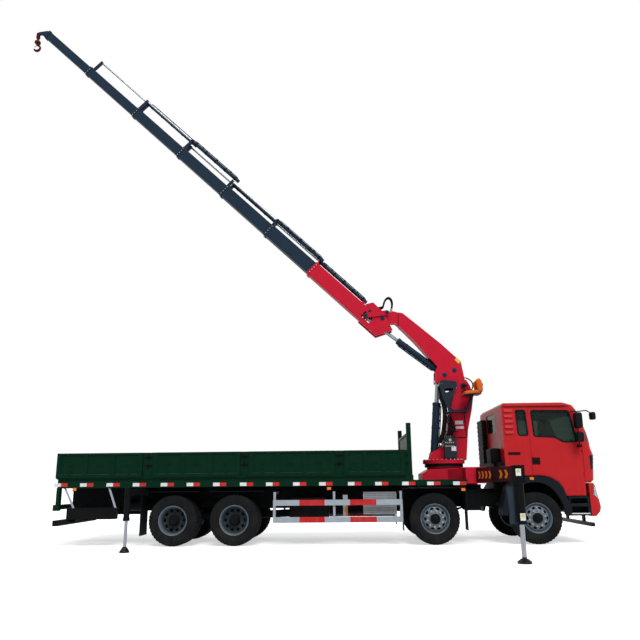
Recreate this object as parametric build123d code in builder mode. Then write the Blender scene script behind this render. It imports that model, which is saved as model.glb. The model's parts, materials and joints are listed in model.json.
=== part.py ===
"""Mobile crane: an 8x4 dropside lorry with a knuckle-boom loader crane behind its cab.

Millimetres, +X forward, +Y to the left, +Z up. The ground is z = 0 and x = 0 lies midway between the
front bumper and the tip of the extended boom.
"""
from build123d import *
import os
from math import cos, sin, radians, atan2, degrees, hypot

os.makedirs("parts", exist_ok=True)

# Running gear
axle_x = {1: 5700, 2: 3520, 3: -845, 4: -2195}
tyre_radius = 542
tyre_width = 295
twin_spacing = 335
track_front = 2180
track_rear = 2185
rim_radius = 300
kingpin_y = 820
kingpin_radius = 22
spindle_radius = 40
stub_radius = 60
flat_gap = 1.5

# Chassis frame
rail_outer_y = 425
rail_depth = 300
rail_top = 1060
rail_flange = 80
rail_wall = 12
frame_rear = -4780
frame_front = 6799.7
seat_gap = 0.3
pin_gap = 0.05
subframe_top = 1250

# Cargo bed
bed_rear = -4870
bed_half_width = 1240
rave_bottom = 1250
floor_top = 1470
floor_thickness = 60
bed_front = 3090
floor_front = bed_front - 150
sill_top = floor_top - 5
rave_front = 4250
front_rave_top = 1365
side_top = 2010
side_thickness = 40
hinge_radius = 12
hinge_z = floor_top - 10
side_hinge_y = bed_half_width + 35
tail_hinge_x = bed_rear + 10
hinge_gap = 8
headboard_top = 2600

# Cab
cab_rear = 5110
cab_half_width = 1180
cab_wall = 45
cab_roof = 3020
cab_floor = 1430
cab_front_floor = 1270
door_gap = 6
door_hinge = (6803, 1183)
door_pin_radius = 9
door_eyes = (1445, 1945)

# Crane base and front outriggers
slew_x = 3940
base_bottom = 1250
base_top = 1640
ring_radius = 450
ring_top = 1725
flange_radius = 490
flange_top = 1810
slew_gap = 0.3
beam_height = 300
beam_bottom = 1300
beam_width = 184
beam_wall = 12
beam_clearance = 8
housing_half_length = 1150
front_beam_x = {"right": 4571, "left": 4361}
front_leg_y = 4396
stage_reach = 1500
leg_radius = 82
leg_top = 1590
leg_bottom = 621
foot_radius = 120
jack_rod = 40

# Rear outriggers
rear_beam_x = -2850
rear_beam_width = 110
rear_beam_height = 120
rear_beam_bottom = 1100
rear_housing_half_length = 1180
rear_leg_y = 2350
rear_leg_radius = 58
rear_jack_rod = 32
rear_stroke = 1040
rear_leg_top = 1261
rear_leg_bottom = 610

# Crane pins, as (x, z) in the plane of the boom
boom_foot = (4475, 3575)
lift_foot = (3725, 1925)
lift_eye = (3900, 3700)
knuckle = (2594, 5282)
lug_inner = 105
link_pin = (2708, 5422)
fold_eye = (2173, 5359)
fold_foot = (3970, 3930)

# Telescopic boom: it points up to the rear at boom_angle
boom_pin = 45
boom_angle = 43.8
boom_drop = 220
outer_end = 2228
outer_depth = 380
outer_width = 300
tube_wall = 8
section_wall = 7
collar_length = 70
collar_proud = 14
collar_pitch = 80

sides = {"right": -1, "left": 1}


def block(x, y, z, mode=Mode.ADD):
    """A box between the two values given along each axis."""
    middle = ((x[0] + x[1]) / 2, (y[0] + y[1]) / 2, (z[0] + z[1]) / 2)
    with Locations(middle):
        Box(abs(x[1] - x[0]), abs(y[1] - y[0]), abs(z[1] - z[0]), mode=mode)


def plate(outline, y_from, y_to, mode=Mode.ADD):
    """An outline in x and z, made solid between two values of y."""
    with BuildSketch(Plane.XZ.offset(-max(y_from, y_to))) as profile:
        with BuildLine():
            Polyline(*outline, close=True)
        make_face()
    extrude(profile.sketch, amount=abs(y_to - y_from), mode=mode)


def rod(start, end, radius, mode=Mode.ADD):
    """A round bar between two points."""
    axis = Vector(*end) - Vector(*start)
    with BuildSketch(Plane(origin=start, z_dir=axis)) as section:
        Circle(radius)
    extrude(section.sketch, amount=axis.length, mode=mode)


def cross_pin(at, half_width, radius, mode=Mode.ADD):
    """A pin along y at a point (x, z)."""
    rod((at[0], -half_width, at[1]), (at[0], half_width, at[1]), radius, mode)


def soft_block(x, y, z, radius, mode=Mode.ADD):
    """A box with all its edges rounded."""
    with BuildPart() as piece:
        Box(abs(x[1] - x[0]), abs(y[1] - y[0]), abs(z[1] - z[0]))
        fillet(piece.edges(), radius)
    middle = ((x[0] + x[1]) / 2, (y[0] + y[1]) / 2, (z[0] + z[1]) / 2)
    add(piece.part.moved(Location(middle)), mode=mode)


def plan_plate(outline, z_from, z_to, mode=Mode.ADD):
    """An outline in x and y, made solid between two heights."""
    with BuildSketch(Plane.XY.offset(z_from)) as profile:
        with BuildLine():
            Polyline(*outline, close=True)
        make_face()
    extrude(profile.sketch, amount=z_to - z_from, mode=mode)


def plan_face(z, x_rear, x_front, half, corner, bow):
    """A plan section whose front bows forward and turns round both corners."""
    turn = corner * sin(radians(45))
    inner = half - corner
    corner_x = x_front - bow - corner
    with BuildSketch(Plane.XY.offset(z)) as face:
        with BuildLine():
            Polyline((corner_x, -half), (x_rear, -half), (x_rear, half), (corner_x, half))
            ThreePointArc((corner_x, half), (corner_x + turn, inner + turn), (x_front - bow, inner))
            ThreePointArc((x_front - bow, inner), (x_front, 0), (x_front - bow, -inner))
            ThreePointArc((x_front - bow, -inner), (corner_x + turn, -inner - turn), (corner_x, -half))
        make_face()
    return face.sketch


def bowed_body(sections, inset=0, lift=0, corner=200, mode=Mode.ADD):
    """A solid through plan sections of z, rear x, front x and half width; the inset shrinks it."""
    top = sections[-1][0]
    faces = []
    for z, x_rear, x_front, half in sections:
        height = z + lift if z == sections[0][0] else z - inset * (z == top) - inset * 0.6 * (top - 80 < z < top)
        faces.append(plan_face(height, x_rear + inset, x_front - inset, half - inset, corner - inset, 40))
    loft(faces, ruled=True, mode=mode)


def finish(builder, name):
    builder.part.label = name
    export_step(builder.part, f"parts/{name}.step")


def across(side, inner, outer):
    """A span of y on one side of the lorry."""
    return tuple(sorted((side * inner, side * outer)))


# Chassis: two channels, cross members, crane subframe, tail frame and rear outrigger box
with BuildPart() as chassis_frame:
    for side in sides.values():
        web = across(side, rail_outer_y - rail_wall, rail_outer_y)
        flange = across(side, rail_outer_y - rail_flange, rail_outer_y)
        block((frame_rear, frame_front), web, (rail_top - rail_depth, rail_top))
        block((frame_rear, frame_front), flange, (rail_top - rail_wall, rail_top))
        block((frame_rear, frame_front), flange, (rail_top - rail_depth, rail_top - rail_depth + rail_wall))
        block((frame_rear, 4700), flange, (rail_top, subframe_top))
    inner_y = rail_outer_y - rail_wall
    for x in (-4700, -3700, -1520, 300, 1700, 2700, 4200, 6700):
        block((x - 40, x + 40), (-inner_y, inner_y), (rail_top - 140, rail_top - 30))
    # Cab mounts
    for side in sides.values():
        block((5160, 5260), across(side, rail_outer_y - rail_flange, rail_outer_y), (rail_top, cab_floor))
        block((6450, 6600), across(side, rail_outer_y - rail_flange, rail_outer_y), (rail_top, cab_front_floor))
    # Rear outrigger box across the frame
    half = rear_beam_width / 2 + 20
    box_bottom = rear_beam_bottom - 20
    box_top = rear_beam_bottom + rear_beam_height + 20
    block((rear_beam_x - half, rear_beam_x + half), (-rear_housing_half_length, rear_housing_half_length),
          (box_bottom, box_top))
    half = rear_beam_width / 2 + beam_clearance
    block((rear_beam_x - half, rear_beam_x + half), (-rear_housing_half_length, rear_housing_half_length),
          (rear_beam_bottom - beam_clearance, rear_beam_bottom + rear_beam_height + beam_clearance),
          Mode.SUBTRACT)
    for side in sides.values():
        mouth = across(side, rear_housing_half_length - 90, rear_housing_half_length)
        block((rear_beam_x - half, rear_beam_x + half), mouth,
              (rear_beam_bottom - beam_clearance, rear_beam_bottom - seat_gap))
    # Rear underrun beam on two hangers
    block((-4900, -4780), (-1150, 1150), (440, 560))
    for side in sides.values():
        hanger = across(side, 380, 425)
        plate(((-4780, 560), (-4640, 760), (-4500, 760), (-4700, 480), (-4780, 480)), *hanger)
    # Boxes under the tail, on arms from the frame
    for side in sides.values():
        block((-4570, -3492), across(side, 1000, 1222), (583, 826))
        for x in (-4430, -3640):
            block((x - 30, x + 30), across(side, rail_outer_y, 1005), (770, 820))
finish(chassis_frame, "chassis_frame")

# Steered axles: drop beams on leaf springs
with BuildPart() as steered_axles:
    for axle in (1, 2):
        x = axle_x[axle]
        block((x - 50, x + 50), (-640, 640), (430, 540))
        for side in sides.values():
            plate(((x - 50, 430), (x + 50, 430), (x + 50, 560), (x - 50, 560)), side * 600, side * 640)
            block((x - 40, x + 40), across(side, 640, kingpin_y), (480, 560))
            rod((x, side * kingpin_y, 480), (x, side * kingpin_y, 560), 42)
            rod((x, side * kingpin_y, 470), (x, side * kingpin_y, 570), kingpin_radius + pin_gap, Mode.SUBTRACT)
            spring = across(side, 380, 460)
            plate(((x - 760, 740), (x - 300, 590), (x + 300, 590), (x + 760, 740),
                   (x + 760, 758), (x + 280, 660), (x - 280, 660), (x - 760, 758)), *spring)
            block((x - 60, x + 60), spring, (540, 592))
            for end in (-760, 760):
                block((x + end - 40, x + end + 40), spring, (735, rail_top - rail_depth))
finish(steered_axles, "steered_axles")

# Driven axles: banjo housings with differentials, springs and the propeller shaft
with BuildPart() as driven_axles:
    for axle in (3, 4):
        x = axle_x[axle]
        rod((x, -590, tyre_radius), (x, 590, tyre_radius), 95)
        with Locations((x, 0, tyre_radius)):
            Sphere(215)
        for side in sides.values():
            rod((x, side * 580, tyre_radius), (x, side * 1120, tyre_radius), stub_radius)
            block((x - 70, x + 70), across(side, 430, 520), (600, 700))
    middle = (axle_x[3] + axle_x[4]) / 2
    for side in sides.values():
        spring = across(side, 430, 520)
        plate(((axle_x[4] - 90, 690), (axle_x[4] + 90, 690), (middle, 850), (axle_x[3] - 90, 690),
               (axle_x[3] + 90, 690), (axle_x[3] + 90, 712), (middle + 90, 930), (middle - 90, 930),
               (axle_x[4] - 90, 712)), *spring)
        block((middle - 100, middle + 100), across(side, rail_outer_y, 520), (830, 940))
    rod((axle_x[4], 0, 600), (axle_x[3], 0, 620), 55)
    rod((axle_x[3] + 100, 0, 620), (4290, 0, 845), 55)
    rod((4270, 0, 845), (4300, 0, 845), 75)
finish(driven_axles, "driven_axles")

# Engine and gearbox as one plain block
with BuildPart() as engine:
    block((5000, 6240), (-335, 335), (780, 1400))
    block((4300, 5000), (-230, 230), (780, 1150))
    for x in (5300, 6100):
        block((x - 50, x + 50), (-rail_outer_y + rail_wall, rail_outer_y - rail_wall), (820, 900))
finish(engine, "engine")

# Fuel tank, battery box and air tanks hung on the frame, and the air intake behind the cab
with BuildPart() as tanks:
    for x_from, x_to, side in ((350, 1230, -1), (350, 1900, 1)):
        soft_block((x_from, x_to), across(side, rail_outer_y + 20, 1080), (560, 1005), 60)
        for x in (x_from + 150, x_to - 150):
            block((x - 30, x + 30), across(side, rail_outer_y, rail_outer_y + 40), (770, 1000))
            block((x - 25, x + 25), across(side, rail_outer_y + 60, 1086), (1000, 1010))
            block((x - 25, x + 25), across(side, 1078, 1086), (600, 1010))
    block((1990, 2700), (-1070, -rail_outer_y), (640, 1040))
    block((1985, 2712), (-1085, -1065), (640, 1115))
    block((1536, 1642), (-1090, -1060), (605, 1055))
    block((1560, 1620), (-1070, -rail_outer_y), (900, 960))
    soft_block((4230, 4560), (-1000, -480), (700, 1160), 20)
    block((4300, 4360), (-490, -rail_outer_y), (900, 1000))
    # Filter housing and intake duct on two posts
    for side in sides.values():
        block((5010, 5060), across(side, rail_outer_y - 60, rail_outer_y), (rail_top, 1650))
    block((4990, 5100), (-1190, 1060), (1640, 1725))
    soft_block((4885, 5100), (-850, -350), (1700, 2040), 45)
    block((4940, 5090), (-800, -400), (1640, 1760))
    soft_block((4995, 5102), (450, 1060), (1700, 2785), 25)
    for z in range(1850, 2740, 110):
        block((4985, 5000), (490, 1020), (z, z + 50))
finish(tanks, "tanks")

# Side guards: two rails a side on posts
with BuildPart() as side_guards:
    for side in sides.values():
        rail_y = across(side, 1200, 1235)
        for z_from, z_to in ((840, 958), (482, 600)):
            block((10, 2830), rail_y, (z_from, z_to))
        for x in (40, 1345, 2800):
            block((x - 25, x + 25), across(side, 1150, 1200), (482, 1130))
            block((x - 25, x + 25), across(side, rail_outer_y, 1160), (1080, 1130))
        for x in (10, 2780):
            block((x, x + 50), rail_y, (482, 958))
        # Slanted struts down to the boxes under the tail
        for foot, head in ((-4425, -4649), (-3486, -3650)):
            plate(((foot - 22, 826), (foot + 22, 826), (head + 22, rave_bottom), (head - 22, rave_bottom)),
                  side * 1192, side * 1214)
finish(side_guards, "side_guards")

# Mudguards over axles 2, 3 and 4 with flaps
with BuildPart() as mudguards:
    for side in sides.values():
        y_span = across(side, rail_outer_y, 1235)
        for x_from, x_to in ((axle_x[4] - 570, axle_x[4] + 560), (axle_x[3] - 560, axle_x[3] + 640)):
            block((x_from, x_to), y_span, (1150, 1160))
        flap_x = rear_beam_x - rear_beam_width / 2 - 20
        block((flap_x - 10, flap_x), across(side, 640, 1175), (220, 1180))
        for x in (2843, 4215):
            block((x - 5, x + 5), across(side, 900, 1235), (300, 1190))
        block((2838, 4220), y_span, (1180, 1190))
finish(mudguards, "mudguards")

# Bed floor: cross members, planked floor and side raves that run on past the crane
with BuildPart() as bed_floor:
    block((bed_rear + 60, floor_front), (-bed_half_width, bed_half_width), (floor_top - floor_thickness, floor_top))
    block((floor_front, bed_front), (-bed_half_width, bed_half_width), (floor_top - 90, sill_top))
    for side in sides.values():
        block((bed_rear + 60, bed_front), across(side, bed_half_width - 50, bed_half_width),
              (rave_bottom, floor_top - 5))
        block((bed_front - 20, rave_front), across(side, bed_half_width - 50, bed_half_width),
              (rave_bottom, front_rave_top))
        # Tail skirt, below the folded tailgate
        plate(((-4826, rave_bottom + 5), (-4750, rave_bottom + 5), (-4750, 768), (-4880, 768), (-4880, 895),
               (-4826, 895)), side * 1120, side * bed_half_width)
    block((bed_rear + 60, bed_rear + 110), (-bed_half_width, bed_half_width), (rave_bottom, floor_top))
    block((-4880, -4850), (-1130, 1130), (785, 893))
    member_gap = 720
    for i in range(11):
        x = bed_rear + 160 + i * member_gap
        block((x - 30, x + 30), (-bed_half_width + 40, bed_half_width - 40),
              (subframe_top, floor_top - floor_thickness))
    for side in sides.values():
        for x in (3200, 4150):
            block((x - 30, x + 30), across(side, rail_outer_y, bed_half_width - 50), (rail_top + 130, subframe_top))
            block((x - 30, x + 30), across(side, bed_half_width - 90, bed_half_width - 50),
                  (subframe_top, rave_bottom + 100))
    # Posts between the dropsides
    for x_from, x_to in ((-2950, -2630), (-765, -498), (1322, 1618), (2885, 2941)):
        for side in sides.values():
            block((x_from, x_to), across(side, bed_half_width - 60, bed_half_width), (sill_top, side_top))
    for side in sides.values():
        block((bed_rear + 60, bed_rear + 120), across(side, bed_half_width - 60, bed_half_width),
              (floor_top, side_top - 60))
        # Hinge lugs between the panels
        for x in (-4800, -2790, -630, 1470, 2930):
            block((x - 8, x + 8), across(side, bed_half_width, side_hinge_y + 18), (hinge_z - 20, hinge_z + 20))
            rod((x - 20, side * side_hinge_y, hinge_z), (x + 20, side * side_hinge_y, hinge_z),
                hinge_radius + pin_gap, Mode.SUBTRACT)
    for y in (-800, 800):
        block((tail_hinge_x - 18, bed_rear + 60), (y - 20, y + 20), (hinge_z - 16, hinge_z + 13))
        rod((tail_hinge_x, y - 40, hinge_z), (tail_hinge_x, y + 40, hinge_z), hinge_radius + pin_gap, Mode.SUBTRACT)
finish(bed_floor, "bed_floor")

# Headboard: a ribbed sheet between two tall stakes
with BuildPart() as headboard:
    stake_y = bed_half_width - 100
    for side in sides.values():
        block((2972, 3072), across(side, stake_y, bed_half_width), (sill_top, headboard_top))
        block((2942, 2975), across(side, bed_half_width - 60, bed_half_width), (sill_top, side_top))
    block((3000, 3030), (-stake_y - 5, stake_y + 5), (sill_top, 2370))
    for z in (sill_top, 1880, 2330):
        block((2975, 3060), (-stake_y - 5, stake_y + 5), (z, z + 50))
    for y in range(-900, 901, 300):
        block((3025, 3055), (y - 25, y + 25), (sill_top, 2340))
finish(headboard, "headboard")

# Dropsides: four panels a side on one hinge line, each with three sunken fields and a sloped ledge
panels = ((-4848, -2915), (-2662, -732), (-531, 1354), (1586, 2912))
rib_half = 45
sheet = 30
for name, side in sides.items():
    with BuildPart() as dropside:
        inner = bed_half_width + 6
        frame_y = across(side, inner + sheet - 1, inner + 50)
        for x_from, x_to in panels:
            block((x_from, x_to), across(side, inner, inner + sheet), (floor_top + 5, side_top))
            block((x_from, x_to), across(side, side_hinge_y - 6, side_hinge_y + 6), (hinge_z, floor_top + 6))
            block((x_from, x_to), frame_y, (side_top - 45, side_top))
            plate(((x_from, floor_top + 5), (x_from + 40, 1548), (x_to - 40, 1548), (x_to, floor_top + 5)), *frame_y)
            for i in range(4):
                x = x_from + rib_half + i * (x_to - x_from - 2 * rib_half) / 3
                block((x - rib_half, x + rib_half), frame_y, (floor_top + 5, side_top))
            for i in range(3):
                x = x_from + (i + 0.5) * (x_to - x_from) / 3
                block((x - 60, x + 60), across(side, inner + sheet - 1, inner + 42), (1730, 1736))
        # Room for the first hinge lug
        block((-4816, -4784), across(side, inner - 2, inner + 54), (1440, 1496), Mode.SUBTRACT)
        # The hinge rod joins the panels
        rod((panels[0][0] + 20, side * side_hinge_y, hinge_z), (panels[-1][1] + 30, side * side_hinge_y, hinge_z),
            hinge_radius)
    finish(dropside, f"dropside_{name}")

with BuildPart() as tailgate:
    block((bed_rear, bed_rear + 45), (-bed_half_width + 4, bed_half_width - 4), (floor_top + 5, side_top))
    for y in (-1100, -550, 0, 550, 1100):
        block((bed_rear - 14, bed_rear), (y - 30, y + 30), (floor_top + 5, side_top))
    # Room for the two hinge lugs
    for y in (-800, 800):
        block((bed_rear - 15, bed_rear + 46), (y - 26, y + 26), (floor_top + 4, floor_top + 18), Mode.SUBTRACT)
    rod((tail_hinge_x, -860, hinge_z), (tail_hinge_x, 860, hinge_z), hinge_radius)
    for y in (-860, 0, 840):
        block((tail_hinge_x - 8, tail_hinge_x + 8), (y, y + 20), (hinge_z, floor_top + 10))
finish(tailgate, "tailgate")

# Wheels: tyre and rim turn as one body
for axle, x in axle_x.items():
    for name, side in sides.items():
        twin = axle > 2
        with BuildPart() as wheel:
            track = track_rear if twin else track_front
            half = tyre_width / 2
            centres = (0, twin_spacing) if twin else (0,)
            for inset in centres:
                y = side * (track / 2 - inset)
                with BuildSketch(Plane.YZ.offset(x)):
                    with BuildLine():
                        Polyline((y - half * 0.8, tyre_radius + rim_radius), (y - half, tyre_radius + 430),
                                 (y - half * 0.86, tyre_radius * 2 - 24), (y - half * 0.7, tyre_radius * 2),
                                 (y + half * 0.7, tyre_radius * 2), (y + half * 0.86, tyre_radius * 2 - 24),
                                 (y + half, tyre_radius + 430), (y + half * 0.8, tyre_radius + rim_radius),
                                 close=True)
                    make_face()
                revolve(axis=Axis((x, 0, tyre_radius), (0, 1, 0)))
            y_from = track / 2 - (centres[-1]) - half * 0.82
            rod((x, side * y_from, tyre_radius), (x, side * (track / 2 + half * 0.82), tyre_radius), rim_radius + 4)
            rod((x, side * (y_from - 1), tyre_radius), (x, side * (track / 2 + half), tyre_radius), rim_radius - 14,
                Mode.SUBTRACT)
            disc_y = side * (track / 2 - twin_spacing / 2) if twin else side * (track / 2 + 60)
            rod((x, disc_y - 10, tyre_radius), (x, disc_y + 10, tyre_radius), rim_radius + 5)
            with Locations(Plane(origin=(x, disc_y, tyre_radius), z_dir=(0, 1, 0))):
                with PolarLocations(205, 10):
                    Cylinder(28, 60, mode=Mode.SUBTRACT)
            if twin:
                rod((x, side * (track / 2 - twin_spacing), tyre_radius), (x, side * 1215, tyre_radius), 125)
                rod((x, side * 560, tyre_radius), (x, side * 1130, tyre_radius), stub_radius + pin_gap, Mode.SUBTRACT)
            else:
                rod((x, side * (kingpin_y + 75), tyre_radius), (x, side * 1225, tyre_radius), 110)
                rod((x, side * (kingpin_y + 70), tyre_radius), (x, side * 1105, tyre_radius),
                    spindle_radius + pin_gap, Mode.SUBTRACT)
        finish(wheel, f"wheel_{axle}_{name}")

# Steering knuckles with kingpins
for axle in (1, 2):
    for name, side in sides.items():
        with BuildPart() as steering_knuckle:
            x = axle_x[axle]
            for z_from, z_to in ((415, 475), (565, 625)):
                rod((x, side * kingpin_y, z_from), (x, side * kingpin_y, z_to), 45)
                block((x - 45, x + 45), across(side, kingpin_y, kingpin_y + 60), (z_from, z_to))
            block((x - 45, x + 45), across(side, kingpin_y + 47, kingpin_y + 60), (415, 625))
            rod((x, side * kingpin_y, 415), (x, side * kingpin_y, 625), kingpin_radius)
            rod((x, side * (kingpin_y + 50), tyre_radius), (x, side * (kingpin_y + 69), tyre_radius), 150)
            rod((x, side * (kingpin_y + 50), tyre_radius), (x, side * 1100, tyre_radius), spindle_radius)
        finish(steering_knuckle, f"knuckle_{axle}_{name}")

# Crane base: pedestal, ring and the crossing boxes of the front outriggers
with BuildPart() as crane_base:
    plate(((3370, base_bottom), (4250, base_bottom), (4250, 1622), (3640, 1600), (3560, 1600), (3370, 1500)),
          -430, 430)
    for side in sides.values():
        plan_plate(((4250, side * 820), (3960, side * 425), (4250, side * 425)), 1280, 1590)
    rod((slew_x, 0, 1590), (slew_x, 0, base_top), 400)
    rod((slew_x, 0, base_top), (slew_x, 0, ring_top), ring_radius)
    x_from = front_beam_x["left"] - beam_width / 2 - 25
    x_to = front_beam_x["right"] + beam_width / 2 + 25
    block((x_from, x_to), (-housing_half_length, housing_half_length),
          (beam_bottom - 25, beam_bottom + beam_height + 25))
    for x in front_beam_x.values():
        half = beam_width / 2 + beam_clearance
        block((x - half, x + half), (-housing_half_length, housing_half_length),
              (beam_bottom - beam_clearance, beam_bottom + beam_height + beam_clearance), Mode.SUBTRACT)
        for side in sides.values():
            block((x - half, x + half), across(side, housing_half_length - 120, housing_half_length),
                  (beam_bottom - beam_clearance, beam_bottom - seat_gap))
    # The box of each beam is closed at its far end
    for name, side in sides.items():
        x = front_beam_x[name]
        block((x - half, x + half), across(-side, housing_half_length - 25, housing_half_length),
              (beam_bottom - beam_clearance, beam_bottom + beam_height + beam_clearance))
    block((x_from + 60, x_to - 60), (-430, 430), (base_bottom, beam_bottom - 25))
finish(crane_base, "crane_base")

# Front outrigger beams in two stages, and their legs
stage_two_width = beam_width - 2 * beam_wall - 2 * beam_clearance
stage_two_height = beam_height - 2 * beam_wall - 2 * beam_clearance
stage_two_bottom = beam_bottom + beam_wall + beam_clearance
for name, side in sides.items():
    x = front_beam_x[name]
    stage_one_end = housing_half_length + stage_reach
    with BuildPart() as stage_one:
        y_span = across(side, stage_one_end - 2000, stage_one_end)
        block((x - beam_width / 2, x + beam_width / 2), y_span, (beam_bottom, beam_bottom + beam_height))
        half = beam_width / 2 - beam_wall
        block((x - half, x + half), y_span, (beam_bottom + beam_wall, beam_bottom + beam_height - beam_wall),
              Mode.SUBTRACT)
        block((x - half, x + half), across(side, stage_one_end - 100, stage_one_end),
              (beam_bottom + beam_wall, stage_two_bottom - seat_gap))
    finish(stage_one, f"front_beam_{name}")
    with BuildPart() as stage_two:
        half = stage_two_width / 2
        block((x - half, x + half), across(side, stage_one_end - 290, front_leg_y - leg_radius + 10),
              (stage_two_bottom, stage_two_bottom + stage_two_height))
        block((x - 94, x + 84), across(side, front_leg_y - 135, front_leg_y + 60), (1290, 1590))
        # Valve bracket on the leg
        plate(((x - 20 + side * 70, 1235), (x - 20 + side * 190, 1235), (x - 20 + side * 165, 900),
               (x - 20 + side * 170, 620), (x - 20 + side * 80, 620), (x - 20 + side * 70, 900)),
              side * (front_leg_y - 128), side * (front_leg_y - 40))
        leg = (x - 20, side * front_leg_y)
        rod((*leg, leg_bottom), (*leg, leg_top), leg_radius)
        rod((*leg, leg_bottom), (*leg, leg_bottom + 40), leg_radius + 12)
        rod((*leg, leg_bottom), (*leg, leg_top - 15), jack_rod + seat_gap, Mode.SUBTRACT)
    finish(stage_two, f"front_leg_{name}")
    with BuildPart() as front_jack:
        rod((*leg, 40), (*leg, 1060), jack_rod)
        rod((*leg, 0), (*leg, 30), foot_radius)
        with BuildSketch(Plane.XY.offset(30)):
            with Locations(leg):
                Circle(foot_radius)
        with BuildSketch(Plane.XY.offset(75)):
            with Locations(leg):
                Circle(60)
        loft()
    finish(front_jack, f"front_foot_{name}")

# Rear outriggers: one beam and one leg a side
for name, side in sides.items():
    leg = (rear_beam_x, side * rear_leg_y)
    with BuildPart() as rear_beam:
        half = rear_beam_width / 2
        block((rear_beam_x - half, rear_beam_x + half), across(side, 1050, rear_leg_y - rear_leg_radius + 12),
              (rear_beam_bottom, rear_beam_bottom + rear_beam_height))
        rod((*leg, rear_leg_bottom), (*leg, rear_leg_top), rear_leg_radius)
        rod((*leg, rear_leg_bottom), (*leg, rear_leg_bottom + 60), rear_leg_radius + 10)
        rod((*leg, rear_leg_bottom), (*leg, rear_leg_top - 12), rear_jack_rod + seat_gap, Mode.SUBTRACT)
    finish(rear_beam, f"rear_beam_{name}")
    with BuildPart() as rear_jack:
        rod((*leg, 40), (*leg, 850), rear_jack_rod)
        rod((*leg, 0), (*leg, 25), 100)
        with BuildSketch(Plane.XY.offset(25)):
            with Locations(leg):
                Circle(100)
        with BuildSketch(Plane.XY.offset(110)):
            with Locations(leg):
                Circle(40)
        loft()
    finish(rear_jack, f"rear_foot_{name}")

# Cab shell, hollow, with its windows and door openings cut. Sections: z, rear x, front x, half width
cab_sections = (
    (cab_front_floor, cab_rear, 7020, cab_half_width),
    (1325, cab_rear, 7080, cab_half_width),
    (1850, cab_rear, 7130, cab_half_width),
    (1990, cab_rear, 7086, cab_half_width),
    (2336, cab_rear, 7018, cab_half_width),
    (2850, cab_rear, 6850, cab_half_width),
    (2960, cab_rear + 5, 6778, cab_half_width - 12),
    (cab_roof, cab_rear + 60, 6640, cab_half_width - 70),
)
door_outline = ((5695, 1440), (5695, 2900), (6590, 2900), (6680, 2830), (6800, 2200), (6800, 1000), (6380, 1000),
                (6318, 1172), (6234, 1284), (6110, 1368), (5950, 1422), (5760, 1440))
door_window = ((5758, 2842), (6562, 2830), (6600, 2780), (6712, 2146), (6418, 2140), (6233, 2249), (5787, 2272))
side_window = ((5413, 2856), (5633, 2853), (5662, 2290), (5446, 2295))
with BuildPart() as cab_hollow:
    bowed_body(cab_sections, cab_wall, lift=cab_wall)
    plate(((5000, 1200), (6385, 1200), (6385, 1300), (6300, cab_floor + cab_wall), (5000, cab_floor + cab_wall)),
          -1300, 1300, Mode.SUBTRACT)
# Skin of the front where the grille is let in
with BuildPart() as grille_recess:
    block((6900, 7300), (-800, 800), (1400, 1800))
    bowed_body(cab_sections, 34, mode=Mode.SUBTRACT)
with BuildPart() as cab_shell:
    bowed_body(cab_sections)
    plate(((5000, 1200), (6340, 1200), (6340, 1265), (6260, cab_floor), (5000, cab_floor)), -1300, 1300,
          Mode.SUBTRACT)
    add(cab_hollow.part, mode=Mode.SUBTRACT)
    add(grille_recess.part, mode=Mode.SUBTRACT)
    for side in sides.values():
        wall = (side * (cab_half_width - cab_wall - 1), side * (cab_half_width + 1))
        plate(side_window, *wall, Mode.SUBTRACT)
        with BuildSketch(Plane.XZ.offset(-max(wall))) as opening:
            with BuildLine():
                Polyline(*door_outline, close=True)
            make_face()
            offset(amount=door_gap, kind=Kind.INTERSECTION)
        extrude(opening.sketch, amount=abs(wall[1] - wall[0]), mode=Mode.SUBTRACT)
        # Room for the door hinges
        rod((door_hinge[0], side * door_hinge[1], 1380), (door_hinge[0], side * door_hinge[1], 2010), 14,
            Mode.SUBTRACT)
        # Hinge eyes round the door's pins
        for z in door_eyes:
            low = (door_hinge[0], side * door_hinge[1], z - 12)
            high = (door_hinge[0], side * door_hinge[1], z + 12)
            rod(low, high, 17)
            rod(low, high, door_pin_radius + pin_gap, Mode.SUBTRACT)
        # Pressed louvres, vent slot, gutter and crease on the rear quarter
        face = (side * (cab_half_width - 2), side * (cab_half_width + 9))
        for z in (2350, 2456, 2562, 2668, 2774):
            plate(((5165, z), (5345, z), (5330, z + 56), (5180, z + 56)), *face)
        block((5200, 5445), across(side, cab_half_width - 14, cab_half_width + 1), (1880, 1925), Mode.SUBTRACT)
        block((5160, 6610), across(side, cab_half_width - 15, cab_half_width + 8), (2938, 2956))
        block((5118, 5682), across(side, cab_half_width - 2, cab_half_width + 4), (1436, 1535))
        # Air slots beside the grille
        for z in (1560, 1640, 1720, 1800):
            block((6960, 7200), across(side, 1010, 1085), (z, z + 38), Mode.SUBTRACT)
    # Windscreen and rear window
    block((6700, 7300), (-1050, 1050), (2050, 2830), Mode.SUBTRACT)
    block((cab_rear - 10, cab_rear + cab_wall + 10), (-450, 450), (2420, 2860), Mode.SUBTRACT)
finish(cab_shell, "cab_shell")

# Bumper sections, and the room its lamps take
bumper_sections = (
    (571, 6862, 7036, 1195),
    (665, 6862, 7125, 1200),
    (760, 6862, 7150, 1200),
    (930, 6862, 7122, 1200),
    (1190, 6862, 7080, 1200),
    (1262, 6862, 7036, 1195),
)
lamp_outline = ((830, 1180), (1230, 1200), (1230, 1040), (1160, 925), (980, 930), (850, 1010))


def lamp_room(side):
    """The lamp's outline in y and z, carried through the bumper from its front."""
    with BuildSketch(Plane.YZ.offset(6940)) as profile:
        with BuildLine():
            Polyline(*[(side * y, z) for y, z in lamp_outline], close=True)
        make_face()
    extrude(profile.sketch, amount=360)


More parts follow.
